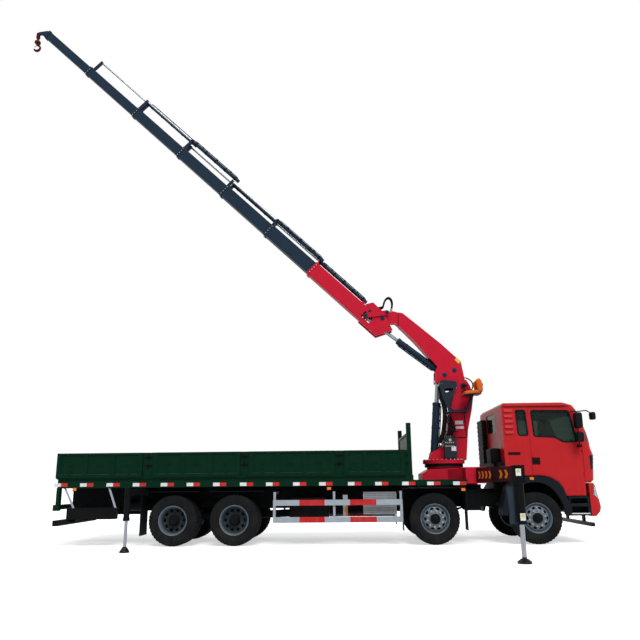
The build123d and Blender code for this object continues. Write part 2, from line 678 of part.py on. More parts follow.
with BuildPart() as cab_glass:
    block((6700, 7300), (-1050, 1050), (2050, 2830))
    with BuildPart(mode=Mode.PRIVATE) as outer_skin:
        bowed_body(cab_sections, 12)
    with BuildPart(mode=Mode.PRIVATE) as inner_skin:
        bowed_body(cab_sections, 18)
    add(outer_skin.part, mode=Mode.INTERSECT)
    add(inner_skin.part, mode=Mode.SUBTRACT)
    block((cab_rear + 18, cab_rear + 24), (-450, 450), (2420, 2860))
    for side in sides.values():
        plate(side_window, side * (cab_half_width - 25), side * (cab_half_width - 20))
        # Clear lamp covers in the bumper
        with BuildPart(mode=Mode.PRIVATE) as cover:
            lamp_room(side)
            with BuildPart(mode=Mode.PRIVATE) as outer_skin:
                bowed_body(bumper_sections, 2, corner=120)
            with BuildPart(mode=Mode.PRIVATE) as inner_skin:
                bowed_body(bumper_sections, 8, corner=120)
            add(outer_skin.part, mode=Mode.INTERSECT)
            add(inner_skin.part, mode=Mode.SUBTRACT)
        add(cover.part)
finish(cab_glass, "cab_glass")

for name, side in sides.items():
    with BuildPart() as door:
        plate(door_outline, side * (cab_half_width - cab_wall), side * cab_half_width)
        plate(door_window, side * (cab_half_width - cab_wall - 1), side * (cab_half_width + 1), Mode.SUBTRACT)
        # Swelling below the crease, with four pressed ribs at its foot
        swell = (side * (cab_half_width - 2), side * (cab_half_width + 4))
        plate(((5760, 1450), (5900, 1700), (6236, 1672), (6553, 1573), (6785, 1500), (6785, 1015), (6392, 1015),
               (6330, 1180), (6245, 1296), (6116, 1380), (5955, 1434)), *swell)
        rib = (side * (cab_half_width + 3), side * (cab_half_width + 9))
        for x in (6440, 6520, 6600, 6680):
            plate(((x, 1080), (x + 48, 1080), (x + 40, 1190), (x + 8, 1190)), *rib)
        # Handle in its dish
        block((5700, 5872), across(side, cab_half_width - 22, cab_half_width + 5), (1662, 1815), Mode.SUBTRACT)
        soft_block((5715, 5858), across(side, cab_half_width - 24, cab_half_width + 2), (1745, 1780), 6)
        for z in door_eyes:
            low = (door_hinge[0], side * door_hinge[1])
            rod((*low, z - 18), (*low, z + 18), 22.5, Mode.SUBTRACT)
            rod((*low, z - 45), (*low, z + 45), door_pin_radius)
        # Mirrors on their arms
        soft_block((6690, 6765), across(side, cab_half_width - 20, 1330), (2020, 2078), 12)
        soft_block((6640, 6790), across(side, 1280, 1470), (2130, 2345), 38)
        soft_block((6630, 6790), across(side, 1280, 1480), (2425, 2765), 45)
        rod((6715, side * 1312, 2040), (6715, side * 1312, 2800), 12)
        rod((6610, side * 1160, 2820), (6715, side * 1312, 2790), 12)
        if name == "right":
            rod((6715, side * 1312, 2790), (6920, side * 1330, 2812), 12)
            rod((6920, side * 1330, 2812), (7040, side * 1330, 2740), 12)
            soft_block((6995, 7105), across(side, 1240, 1410), (2605, 2775), 40)
    finish(door, f"door_{name}")
    with BuildPart() as door_glass:
        plate(door_window, side * (cab_half_width - 25), side * (cab_half_width - 20))
    finish(door_glass, f"door_glass_{name}")

# Bumper with its lamp openings
with BuildPart() as bumper:
    bowed_body(bumper_sections, corner=120)
    for side in sides.values():
        with BuildPart(mode=Mode.PRIVATE) as lamp_hole:
            lamp_room(side)
        add(lamp_hole.part, mode=Mode.SUBTRACT)
        block((7040, 7300), across(side, 700, 930), (640, 740), Mode.SUBTRACT)
    block((7060, 7300), (-560, 560), (640, 860), Mode.SUBTRACT)
    for z in (700, 780):
        block((7055, 7105), (-565, 565), (z, z + 22))
    block((6800, 6880), (-700, 700), (600, 980))
    # Front underrun bar on two hangers
    block((6865, 6945), (-1100, 1100), (355, 435))
    for side in sides.values():
        block((6880, 6930), across(side, 500, 600), (430, 600))
finish(bumper, "bumper")

# Black plastic: front fenders, the steps below the doors and the bars of the grille
arch_outer = ((0, 1417), (250, 1400), (400, 1352), (520, 1268), (600, 1160), (655, 1000), (700, 850), (725, 720),
              (735, 600))
arch_lip = ((0, 1290), (220, 1250), (370, 1145), (490, 990), (570, 815), (612, 640), (618, 600))


def arch_face(outline, x):
    """A closed face below a curve through one half of an arch and its mirror image."""
    points = [(-px, pz) for px, pz in reversed(outline[1:])] + list(outline)
    with BuildSketch(Plane.XZ) as face:
        with BuildLine():
            Spline(*[(x + px, pz) for px, pz in points])
            Line((x - outline[-1][0], outline[-1][1]), (x + outline[-1][0], outline[-1][1]))
        make_face()
    return face.sketch


arch_liner = tuple((px * 0.968, 600 + (pz - 600) * 0.972) for px, pz in arch_outer)
with BuildPart() as cab_fenders:
    for side in sides.values():
        outer_face = arch_face(arch_outer, axle_x[1])
        for inner_outline, y_near, y_far in ((arch_lip, 1160, 1235), (arch_liner, 800, 1165)):
            ring = outer_face - arch_face(inner_outline, axle_x[1])
            ring = ring.moved(Location((0, max(side * y_near, side * y_far), 0)))
            extrude(ring, amount=y_far - y_near, dir=(0, -1, 0))
        # Step box with two treads
        block((6400, 6848), across(side, 900, 1205), (585, 985))
        block((6455, 6800), across(side, 960, 1210), (640, 775), Mode.SUBTRACT)
        block((6440, 6800), across(side, 960, 1210), (825, 945), Mode.SUBTRACT)
        block((6400, 6795), across(side, rail_outer_y, 905), (800, 860))
        block((4958, 5004), across(side, rail_outer_y, 805), (800, 850))
    with BuildPart(mode=Mode.PRIVATE) as bars:
        for z in (1425, 1500, 1575, 1650, 1725):
            block((6950, 7300), (-790, 790), (z, z + 34))
        block((6950, 7300), (-30, 30), (1405, 1795))
        with BuildPart(mode=Mode.PRIVATE) as outer_skin:
            bowed_body(cab_sections, 6)
        with BuildPart(mode=Mode.PRIVATE) as inner_skin:
            bowed_body(cab_sections, 33.8)
        add(outer_skin.part, mode=Mode.INTERSECT)
        add(inner_skin.part, mode=Mode.SUBTRACT)
    add(bars.part)
finish(cab_fenders, "cab_fenders")

with BuildPart() as cab_interior:
    block((cab_rear + 50, 6240), (-1100, 1100), (cab_floor + cab_wall, cab_floor + 80))
    for y in (-600, 600):
        block((5450, 5950), (y - 250, y + 250), (cab_floor + 80, 1900))
        block((5400, 5540), (y - 250, y + 250), (1900, 2600))
    block((6480, 6860), (-1130, 1130), (1700, 1980))
    dash_end = cab_half_width - cab_wall - seat_gap
    block((6815, 6855), (-dash_end, dash_end), (1700, 1900))
finish(cab_interior, "cab_interior")

# Column: flange, leaning mast, cheeks that hold the boom foot and a clevis for the lift cylinder
cheek_inner = 160
cheek_outer = 205
with BuildPart() as column:
    rod((slew_x, 0, ring_top + slew_gap), (slew_x, 0, flange_top), flange_radius)
    plate(((3870, flange_top - 10), (4450, flange_top - 10), (4530, 2500), (4645, 2970), (4708, 3320),
           (4640, 3560), (4560, 3700), (4400, 3710), (4330, 3600), (4200, 3200), (4100, 2800), (4000, 2300),
           (3900, 2060)),
          -cheek_outer, cheek_outer)
    block((3800, 4800), (-cheek_inner, cheek_inner), (3180, 3900), Mode.SUBTRACT)
    for side in sides.values():
        plate(((3590, flange_top - 10), (3900, flange_top - 10), (3900, 2180), (3800, 2060), (3640, 1990)),
              side * 110, side * 170)
    cross_pin(lift_foot, 168, 30)
    cross_pin(boom_foot, cheek_outer + 20, boom_pin)
    block((3927, 4215), (-380, -200), (1857, 2318))
    # Ears beside the cylinder's eye, each with an oval window
    ear = ((3889, 3604), (3945, 3698), (4304, 3661), (4326, 3551), (4214, 3299), (4090, 3040), (4045, 3040),
           (3943, 3338))
    for side in sides.values():
        plate(ear, side * 262, side * 282)
        plate(((4009, 3498), (4226, 3495), (4205, 3414), (4040, 3394)), side * 261, side * 283, Mode.SUBTRACT)
        rod((4140, side * 200, 3130), (4140, side * 264, 3130), 45)
    # Curved arm under the seat
    plate(((4040, 3070), (4075, 2990), (4177, 2905), (4506, 2905), (4600, 3030), (4645, 3180), (4650, 3290),
           (4590, 3290), (4580, 3180), (4540, 3070), (4480, 2970), (4200, 2970), (4110, 3070)), -282, -262)
    block((4380, 4450), (-264, -200), (2920, 2960))
finish(column, "column")

with BuildPart() as operator_seat:
    plate(((4382, 3305), (4420, 3372), (4500, 3386), (4745, 3386), (4820, 3345), (4822, 3300), (4560, 3272)),
          -740, -320)
    plate(((4735, 3380), (4800, 3318), (4850, 3330), (4897, 3640), (4880, 3668), (4800, 3640)), -740, -320)
    block((4596, 4646), (-330, -262), (3290 + seat_gap, 3345))
    block((4024, 4475), (-700, -284), (2886, 2904))
    plate(((4440, 2900), (4480, 2900), (4640, 3296), (4600, 3296)), -560, -520)
finish(operator_seat, "operator_seat")


def along(start, end, distance):
    """The point (x, z) at a distance from start on the line to end."""
    length = hypot(end[0] - start[0], end[1] - start[1])
    share = distance / length
    return (start[0] + (end[0] - start[0]) * share, start[1] + (end[1] - start[1]) * share)


def cylinder_barrel(foot, eye, barrel_length, radius, bore, rod_radius, foot_width):
    """A hydraulic barrel with its foot eye, open at the gland."""
    start = along(foot, eye, radius * 0.7)
    end = along(foot, eye, barrel_length)
    rod((start[0], 0, start[1]), (end[0], 0, end[1]), radius)
    gland = along(foot, eye, barrel_length - 60)
    rod((gland[0], 0, gland[1]), (end[0], 0, end[1]), radius + 8)
    cross_pin(foot, foot_width, radius * 0.85)
    hollow = along(foot, eye, radius * 1.6)
    rod((hollow[0], 0, hollow[1]), (gland[0], 0, gland[1]), bore, Mode.SUBTRACT)
    rod((gland[0], 0, gland[1]), (end[0], 0, end[1]), rod_radius + seat_gap, Mode.SUBTRACT)


def cylinder_rod(foot, eye, rod_from, radius, eye_radius, eye_width):
    """A piston rod with its eye."""
    start = along(foot, eye, rod_from)
    rod((start[0], 0, start[1]), (eye[0], 0, eye[1]), radius)
    cross_pin(eye, eye_width, eye_radius)


lift_barrel_length = 1250
with BuildPart() as lift_barrel:
    cylinder_barrel(lift_foot, lift_eye, lift_barrel_length, 92, 66, 55, 85)
    cross_pin(lift_foot, 170, 30 + pin_gap, Mode.SUBTRACT)
finish(lift_barrel, "lift_barrel")

with BuildPart() as lift_rod:
    cylinder_rod(lift_foot, lift_eye, 800, 55, 75, 60)
    cross_pin(lift_eye, lug_inner - seat_gap, 35)
finish(lift_rod, "lift_rod")

# Inner boom: deep at the foot, narrow at the knuckle
with BuildPart() as inner_boom:
    plate(((2630, 5372), (2700, 5470), (2867, 5478), (3106, 5404), (3981, 4636), (4467, 4158), (4533, 3734),
           (4600, 3560), (4560, 3475), (4475, 3445), (4380, 3480), (4050, 3650), (3912, 3744), (3948, 3978),
           (3355, 4702), (3077, 5000), (2907, 5160), (2650, 5170), (2530, 5190), (2484, 5282), (2530, 5360)),
          -95, 95)
    plate(((3106, 5404), (3981, 4636), (4467, 4158), (4533, 3734), (4600, 3560), (4560, 3475), (4475, 3445),
           (4380, 3480), (4050, 3650), (3912, 3744), (3948, 3978), (3355, 4702), (3077, 5000), (3000, 5073),
           (3000, 5430)), -150, 150)
    # Room for the two cylinders' eyes
    plate(((3680, 3540), (3990, 3540), (3990, 3810), (3680, 3860)), -lug_inner, lug_inner, Mode.SUBTRACT)
    plate(((3700, 3800), (4090, 3800), (4090, 4050), (3980, 4120), (3700, 4300)), -lug_inner, lug_inner,
          Mode.SUBTRACT)
    for side in sides.values():
        plate(((3820, 3640), (3960, 3640), (4060, 3720), (4060, 4000), (3900, 4060), (3830, 3900)),
              side * lug_inner, side * 150)
    cross_pin(fold_foot, 140, 35)
    cross_pin(boom_foot, 152, boom_pin + pin_gap, Mode.SUBTRACT)
    cross_pin(knuckle, 152, 39 + pin_gap, Mode.SUBTRACT)
    cross_pin(link_pin, 152, 30 + pin_gap, Mode.SUBTRACT)
finish(inner_boom, "inner_boom")

fold_barrel_length = 1290
with BuildPart() as fold_barrel:
    cylinder_barrel(fold_foot, fold_eye, fold_barrel_length, 78, 56, 45, 85)
    cross_pin(fold_foot, 170, 35 + pin_gap, Mode.SUBTRACT)
finish(fold_barrel, "fold_barrel")

with BuildPart() as fold_rod:
    cylinder_rod(fold_foot, fold_eye, 900, 45, 62, 55)
    cross_pin(fold_eye, 165 - seat_gap, 30)
finish(fold_rod, "fold_rod")

# Knuckle link: two plates from the inner boom to the fold cylinder's eye
with BuildPart() as knuckle_link:
    for side in sides.values():
        y_span = across(side, 165, 190)
        for pin in (link_pin, fold_eye):
            rod((pin[0], y_span[0], pin[1]), (pin[0], y_span[1], pin[1]), 62)
        plate(((link_pin[0], link_pin[1] - 60), (link_pin[0], link_pin[1] + 60),
               (fold_eye[0], fold_eye[1] + 60), (fold_eye[0], fold_eye[1] - 60)), *y_span)
    cross_pin(link_pin, 180, 30)
finish(knuckle_link, "knuckle_link")

# Frame of the telescopic boom: u runs out along it, n is square to it and up, from the knuckle pin
out = (-cos(radians(boom_angle)), 0, sin(radians(boom_angle)))
up = (sin(radians(boom_angle)), 0, cos(radians(boom_angle)))


def boom_point(u, n, y=0):
    return (knuckle[0] + u * out[0] + n * up[0], y, knuckle[1] + u * out[2] + n * up[2])


boom_side = Plane(origin=(knuckle[0], 0, knuckle[1]), x_dir=out, z_dir=(0, 1, 0))


def boom_plate(outline, y_from, y_to, mode=Mode.ADD):
    """An outline in u and n, made solid between two values of y."""
    with BuildSketch(boom_side.offset(min(y_from, y_to))) as profile:
        with BuildLine():
            Polyline(*outline, close=True)
        make_face()
    extrude(profile.sketch, amount=abs(y_to - y_from), mode=mode)


def boom_tube(u_from, u_to, width, depth, wall, radius=22):
    """A rounded tube along the boom."""
    start = Plane(origin=boom_point(u_from, -boom_drop), x_dir=(0, -1, 0), z_dir=out)
    with BuildSketch(start) as profile:
        RectangleRounded(width, depth, radius)
        RectangleRounded(width - 2 * wall, depth - 2 * wall, max(radius - wall, 4), mode=Mode.SUBTRACT)
    extrude(profile.sketch, amount=u_to - u_from)


# Extension cylinders lie in lanes above the boom: y, n
lanes = {1: (0, 60), 2: (-115, 105), 3: (115, 105), 4: (-60, 225), 5: (60, 225)}
lane_radius = 48
lane_rod = 24
rod_insert = 30
# Sections: name, length of boom it shows, width, depth, stroke, barrel length on it
sections = (
    (1, 1582, 272, 344, 1502, 1680),
    (2, 1667, 248, 320, 1587, 1720),
    (3, 1690, 224, 296, 1610, 1820),
    (4, 1816, 200, 272, 1736, 1970),
    (5, 1973, 176, 248, 1893, 0),
    (6, 1800, 152, 224, 1730, 0),
)


def slide_pads(end_u, inner_depth, section_depth, half_width):
    """Wear pads in a tube's mouth, above and below the section that runs in it."""
    for sign in (-1, 1):
        outer_n = -boom_drop + sign * inner_depth / 2
        inner_n = -boom_drop + sign * (section_depth / 2 + seat_gap)
        boom_plate(((end_u - 60, outer_n), (end_u, outer_n), (end_u, inner_n), (end_u - 60, inner_n)),
                   -half_width, half_width)


def lane_barrel(number, gland_u, length):
    """An extension cylinder's barrel, its gland at gland_u."""
    y, n = lanes[number]
    rod(boom_point(gland_u - length, n, y), boom_point(gland_u, n, y), lane_radius)
    rod(boom_point(gland_u - length + 40, n, y), boom_point(gland_u + 1, n, y), lane_rod + seat_gap,
        Mode.SUBTRACT)


with BuildPart() as outer_boom:
    boom_tube(380, outer_end, outer_width, outer_depth, tube_wall)
    boom_tube(outer_end - collar_length, outer_end, outer_width + 2 * collar_proud,
              outer_depth + 2 * collar_proud, tube_wall + collar_proud)
    for side in sides.values():
        boom_plate(((-385, -50), (-175, -440), (420, -440), (420, -30), (560, -20), (450, 150), (100, 140),
                    (0, 110), (-120, 60)), side * 105, side * 150)
    # Room in the cheeks for the fold cylinder's pin
    for side in sides.values():
        boom_plate(((170, -320), (440, -320), (440, -140), (170, -140)), side * 100, side * 155, Mode.SUBTRACT)
    cross_pin(knuckle, 150, 39)
    y, n = lanes[1]
    lane_barrel(1, outer_end, 1640)
    boom_plate(((outer_end - 60, -40), (outer_end, -40), (outer_end, n), (outer_end - 60, n)), -40, 40)
    boom_plate(((620, -40), (680, -40), (680, n), (620, n)), -40, 40)
    rod(boom_point(outer_end - 70, n, y), boom_point(outer_end + 1, n, y), lane_rod + seat_gap, Mode.SUBTRACT)
    slide_pads(outer_end, outer_depth - 2 * tube_wall, sections[0][3], 90)
finish(outer_boom, "outer_boom")

overlap = 210
tip = outer_end
for number, shown, width, depth, stroke, barrel_length in sections:
    root = tip - overlap
    tip = tip + shown
    top = depth / 2 - boom_drop
    with BuildPart() as section:
        boom_tube(root, tip, width, depth, section_wall)
        boom_tube(tip - collar_length, tip, width + 2 * collar_proud, depth + 2 * collar_proud,
                  section_wall + collar_proud)
        if number < 6:
            y, n = lanes[number]
            inner_top = top + 2
            boom_plate(((tip - 60, inner_top), (tip, inner_top), (tip, n + 35), (tip - 60, n + 35)),
                       y - 35, y + 35)
            previous = tip - shown
            rod(boom_point(previous - rod_insert, n, y), boom_point(tip - 30, n, y), lane_rod)
            if barrel_length:
                y, n = lanes[number + 1]
                boom_plate(((tip - 60, inner_top), (tip, inner_top), (tip, n), (tip - 60, n)), y - 48, y + 48)
                lane_barrel(number + 1, tip, barrel_length)
                low = min(lanes[number][0], y)
                high = max(lanes[number][0], y)
                boom_plate(((tip - 60, inner_top), (tip, inner_top), (tip, inner_top + 40),
                            (tip - 60, inner_top + 40)), low, high)
            slide_pads(tip, depth - 2 * section_wall, sections[number][3], sections[number][2] / 3)
        else:
            # Head with its lug for the hook
            pin_u = tip + 220
            pin_n = -395
            boom_plate(((tip - 60, -120), (tip + 90, -130), (pin_u + 35, -330), (pin_u + 38, -400), (pin_u, -440),
                        (pin_u - 40, -400), (pin_u - 100, -330), (tip - 60, -325)), -20, 20)
            boom_plate(((tip - 20, -boom_drop - 112), (tip, -boom_drop - 112), (tip, -boom_drop + 112),
                        (tip - 20, -boom_drop + 112)), -74, 74)
            hook_top = boom_point(pin_u, pin_n)
            cross_pin((hook_top[0], hook_top[2]), 60, 14 + seat_gap, Mode.SUBTRACT)
    finish(section, f"boom_section_{number}")

# Hook on its swivel, hanging plumb from the head's lug
with BuildPart() as hook:
    x, _, z = hook_top
    for side in sides.values():
        block((x - 25, x + 25), across(side, 26, 40), (z - 120, z + 25))
    block((x - 30, x + 30), (-40, 40), (z - 150, z - 110))
    rod((x, -40, z), (x, 40, z), 14)
    rod((x, 0, z - 150), (x, 0, z - 330), 25)
    rod((x, 0, z - 200), (x, 0, z - 300), 90)
    with BuildSketch(Plane.XZ.offset(-30)):
        with Locations((x, z - 450)):
            Circle(130)
            Circle(62, mode=Mode.SUBTRACT)
        with Locations((x - 110, z - 400)):
            Rectangle(130, 90, mode=Mode.SUBTRACT)
    extrude(amount=60)
finish(hook, "hook")
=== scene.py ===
# Mobile crane: an 8x4 dropside lorry with a knuckle-boom loader crane behind its cab.
# Metres, +X forward, +Y to the left, +Z up, ground at z = 0.
import json
from math import cos, pi, radians, sin

import bmesh
import bpy
import numpy as np
from mathutils import Matrix

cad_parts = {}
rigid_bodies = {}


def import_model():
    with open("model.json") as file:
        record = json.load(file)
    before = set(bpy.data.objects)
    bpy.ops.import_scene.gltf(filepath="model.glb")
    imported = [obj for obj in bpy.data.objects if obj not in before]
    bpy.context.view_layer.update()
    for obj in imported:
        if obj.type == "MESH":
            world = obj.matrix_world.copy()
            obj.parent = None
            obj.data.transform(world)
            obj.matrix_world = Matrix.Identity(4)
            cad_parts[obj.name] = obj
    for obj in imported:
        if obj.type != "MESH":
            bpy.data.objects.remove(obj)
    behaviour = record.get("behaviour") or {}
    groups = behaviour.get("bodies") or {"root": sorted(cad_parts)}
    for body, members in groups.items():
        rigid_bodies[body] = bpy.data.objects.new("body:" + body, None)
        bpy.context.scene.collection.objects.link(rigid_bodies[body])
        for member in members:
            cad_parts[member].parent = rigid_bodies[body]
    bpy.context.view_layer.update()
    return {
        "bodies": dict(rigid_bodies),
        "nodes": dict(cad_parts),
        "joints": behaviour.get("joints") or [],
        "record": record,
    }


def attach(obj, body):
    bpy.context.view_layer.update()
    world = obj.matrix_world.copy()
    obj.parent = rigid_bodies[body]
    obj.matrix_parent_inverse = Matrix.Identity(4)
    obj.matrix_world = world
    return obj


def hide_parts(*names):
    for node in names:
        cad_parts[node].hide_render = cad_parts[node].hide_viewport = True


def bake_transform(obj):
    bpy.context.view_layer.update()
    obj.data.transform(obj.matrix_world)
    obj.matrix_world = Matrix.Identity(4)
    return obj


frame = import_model()
cadNodes = frame["nodes"]
scene = bpy.context.scene
sideSigns = {"right": -1, "left": 1}
print("frame loaded:", len(cadNodes), "nodes")


def groupSocket(tree, kind, name, way="INPUT", value=None):
    socket = tree.interface.new_socket(name=name, in_out=way, socket_type=kind)
    if value is not None:
        socket.default_value = value
    return socket


# A number or a colour is set on the socket itself; another socket is linked to it
def setOrLink(tree, socket, value):
    if isinstance(value, (int, float)):
        socket.default_value = value
    elif isinstance(value, tuple):
        socket.default_value = (*value[:3], 1.0) if len(socket.default_value) == 4 else value
    else:
        tree.links.new(value, socket)


def mathNode(tree, operation, first, second, clamp=False):
    node = tree.nodes.new("ShaderNodeMath")
    node.operation = operation
    node.use_clamp = clamp
    setOrLink(tree, node.inputs[0], first)
    setOrLink(tree, node.inputs[1], second)
    return node.outputs[0]


# first * (1 - factor) + second * factor, or first times second by the factor with MULTIPLY
def mixColour(tree, factor, first, second, blend="MIX"):
    node = tree.nodes.new("ShaderNodeMix")
    node.data_type = "RGBA"
    node.blend_type = blend
    for place, value in ((0, factor), (6, first), (7, second)):
        setOrLink(tree, node.inputs[place], value)
    return node.outputs[2]


def noiseNode(tree, vector, scale, detail=3.0, rough=0.55):
    node = tree.nodes.new("ShaderNodeTexNoise")
    tree.links.new(vector, node.inputs["Vector"])
    node.inputs["Detail"].default_value = detail
    node.inputs["Roughness"].default_value = rough
    setOrLink(tree, node.inputs["Scale"], scale)
    return node.outputs["Fac"]


# toLow + (toHigh - toLow) * (value - low) / (high - low), held between toLow and toHigh
def rangeNode(tree, value, low, high, toLow=0.0, toHigh=1.0):
    node = tree.nodes.new("ShaderNodeMapRange")
    node.clamp = True
    for place, item in enumerate((value, low, high, toLow, toHigh)):
        setOrLink(tree, node.inputs[place], item)
    return node.outputs[0]


# 1 inside the box from Low to High in Object coordinates, 0 outside
def buildZoneGroup():
    tree = bpy.data.node_groups.new("paintZone", "ShaderNodeTree")
    groupSocket(tree, "NodeSocketVector", "Low")
    groupSocket(tree, "NodeSocketVector", "High")
    groupSocket(tree, "NodeSocketFloat", "Mask", "OUTPUT")
    given = tree.nodes.new("NodeGroupInput").outputs
    result = tree.nodes.new("NodeGroupOutput").inputs
    coords = tree.nodes.new("ShaderNodeTexCoord").outputs["Object"]
    split, low, high = (tree.nodes.new("ShaderNodeSeparateXYZ") for _ in range(3))
    for source, node in ((coords, split), (given["Low"], low), (given["High"], high)):
        tree.links.new(source, node.inputs[0])
    mask = 1.0
    for axis in range(3):
        above = mathNode(tree, "GREATER_THAN", split.outputs[axis], low.outputs[axis])
        below = mathNode(tree, "LESS_THAN", split.outputs[axis], high.outputs[axis])
        mask = mathNode(tree, "MULTIPLY", mathNode(tree, "MULTIPLY", above, below), mask)
    tree.links.new(mask, result["Mask"])
    return tree


weatherSet = {
    "mottleRange": (0.3, 0.7),
    "mottleTint": (0.25, 0.25, 0.27),
    "fineScale": 55.0,
    "dustAbove": 0.12,  # share of the dust left above its height
    "dustScale": 3.1,
    "dustRange": (0.38, 0.72),
    "streakStretch": (9.0, 9.0, 0.7),
    "streakScale": 2.0,
    "streakRange": (0.5, 0.75, 0.0, 0.6),
    "edgeRadius": 0.01,
    "edgeRange": (0.985, 0.86),  # dot product of the flat and the rounded normal
    "patchScale": 14.0,
    "patchRange": (0.45, 0.65),
    "dustRoughness": 0.35,
    "mottleRoughness": 0.08,
    "fineHeight": 0.12,
}


# Road dirt, mottling, fine scratches, and rubbed edges with a painted edge highlight, from Object
# coordinates and a rounded-corner normal
def buildWeatherGroup(values=weatherSet):
    tree = bpy.data.node_groups.new("weather", "ShaderNodeTree")
    groupSocket(tree, "NodeSocketColor", "Paint", value=(0.5, 0.5, 0.5, 1))
    groupSocket(tree, "NodeSocketColor", "Dust", value=(0.2, 0.18, 0.15, 1))
    groupSocket(tree, "NodeSocketColor", "Rubbed and highlit", value=(0.4, 0.4, 0.4, 1))
    for name, value in (("Dust amount", 0.3), ("Dust height", 1.2), ("Mottle", 0.15), ("Edge wear and highlight", 0.4),
                        ("Scale", 6.0), ("Roughness base", 0.4)):
        groupSocket(tree, "NodeSocketFloat", name, value=value)
    groupSocket(tree, "NodeSocketColor", "Colour", "OUTPUT")
    groupSocket(tree, "NodeSocketFloat", "Roughness", "OUTPUT")
    groupSocket(tree, "NodeSocketFloat", "Height", "OUTPUT")
    given = tree.nodes.new("NodeGroupInput").outputs
    result = tree.nodes.new("NodeGroupOutput").inputs
    coords = tree.nodes.new("ShaderNodeTexCoord").outputs["Object"]
    split = tree.nodes.new("ShaderNodeSeparateXYZ")
    tree.links.new(coords, split.inputs[0])
    broad = noiseNode(tree, coords, given["Scale"], 4.0)
    fine = noiseNode(tree, coords, values["fineScale"], 2.0)
    shade = rangeNode(tree, broad, *values["mottleRange"])
    darker = mixColour(tree, given["Mottle"], given["Paint"], values["mottleTint"], "MULTIPLY")
    colour = mixColour(tree, shade, darker, given["Paint"])
    # dust: thick near the ground, thin above, broken up by noise and run into streaks
    low = rangeNode(tree, split.outputs[2], 0.0, given["Dust height"], 1.0, values["dustAbove"])
    broken = rangeNode(tree, noiseNode(tree, coords, values["dustScale"], 5.0, 0.65), *values["dustRange"])
    squeezed = tree.nodes.new("ShaderNodeMapping")
    tree.links.new(coords, squeezed.inputs["Vector"])
    squeezed.inputs["Scale"].default_value = values["streakStretch"]
    streaks = noiseNode(tree, squeezed.outputs[0], values["streakScale"], 2.0)
    broken = mathNode(tree, "ADD", broken, rangeNode(tree, streaks, *values["streakRange"]), True)
    dust = mathNode(tree, "MULTIPLY", mathNode(tree, "MULTIPLY", low, broken), given["Dust amount"], True)
    colour = mixColour(tree, dust, colour, given["Dust"])
    # rubbed edges and painted edge highlight: the edge colour where the rounded normal leaves the flat one
    bevel = tree.nodes.new("ShaderNodeBevel")
    bevel.samples = 4
    bevel.inputs["Radius"].default_value = values["edgeRadius"]
    geometry = tree.nodes.new("ShaderNodeNewGeometry")
    dot = tree.nodes.new("ShaderNodeVectorMath")
    dot.operation = "DOT_PRODUCT"
    tree.links.new(bevel.outputs[0], dot.inputs[0])
    tree.links.new(geometry.outputs["Normal"], dot.inputs[1])
    edge = rangeNode(tree, dot.outputs["Value"], *values["edgeRange"])
    patchy = rangeNode(tree, noiseNode(tree, coords, values["patchScale"], 4.0, 0.7), *values["patchRange"])
    wornAndHighlit = mathNode(tree, "MULTIPLY", mathNode(tree, "MULTIPLY", edge, patchy), given["Edge wear and highlight"], True)
    colour = mixColour(tree, wornAndHighlit, colour, given["Rubbed and highlit"])
    tree.links.new(colour, result["Colour"])
    dustier = mathNode(tree, "MULTIPLY", dust, values["dustRoughness"])
    rough = mathNode(tree, "ADD", given["Roughness base"], dustier)
    rough = mathNode(tree, "ADD", rough, mathNode(tree, "MULTIPLY", shade, values["mottleRoughness"]), True)
    tree.links.new(rough, result["Roughness"])
    height = mathNode(tree, "ADD", mathNode(tree, "MULTIPLY", fine, values["fineHeight"]), broad)
    tree.links.new(height, result["Height"])
    return tree


zoneGroup = buildZoneGroup()
weatherGroup = buildWeatherGroup()
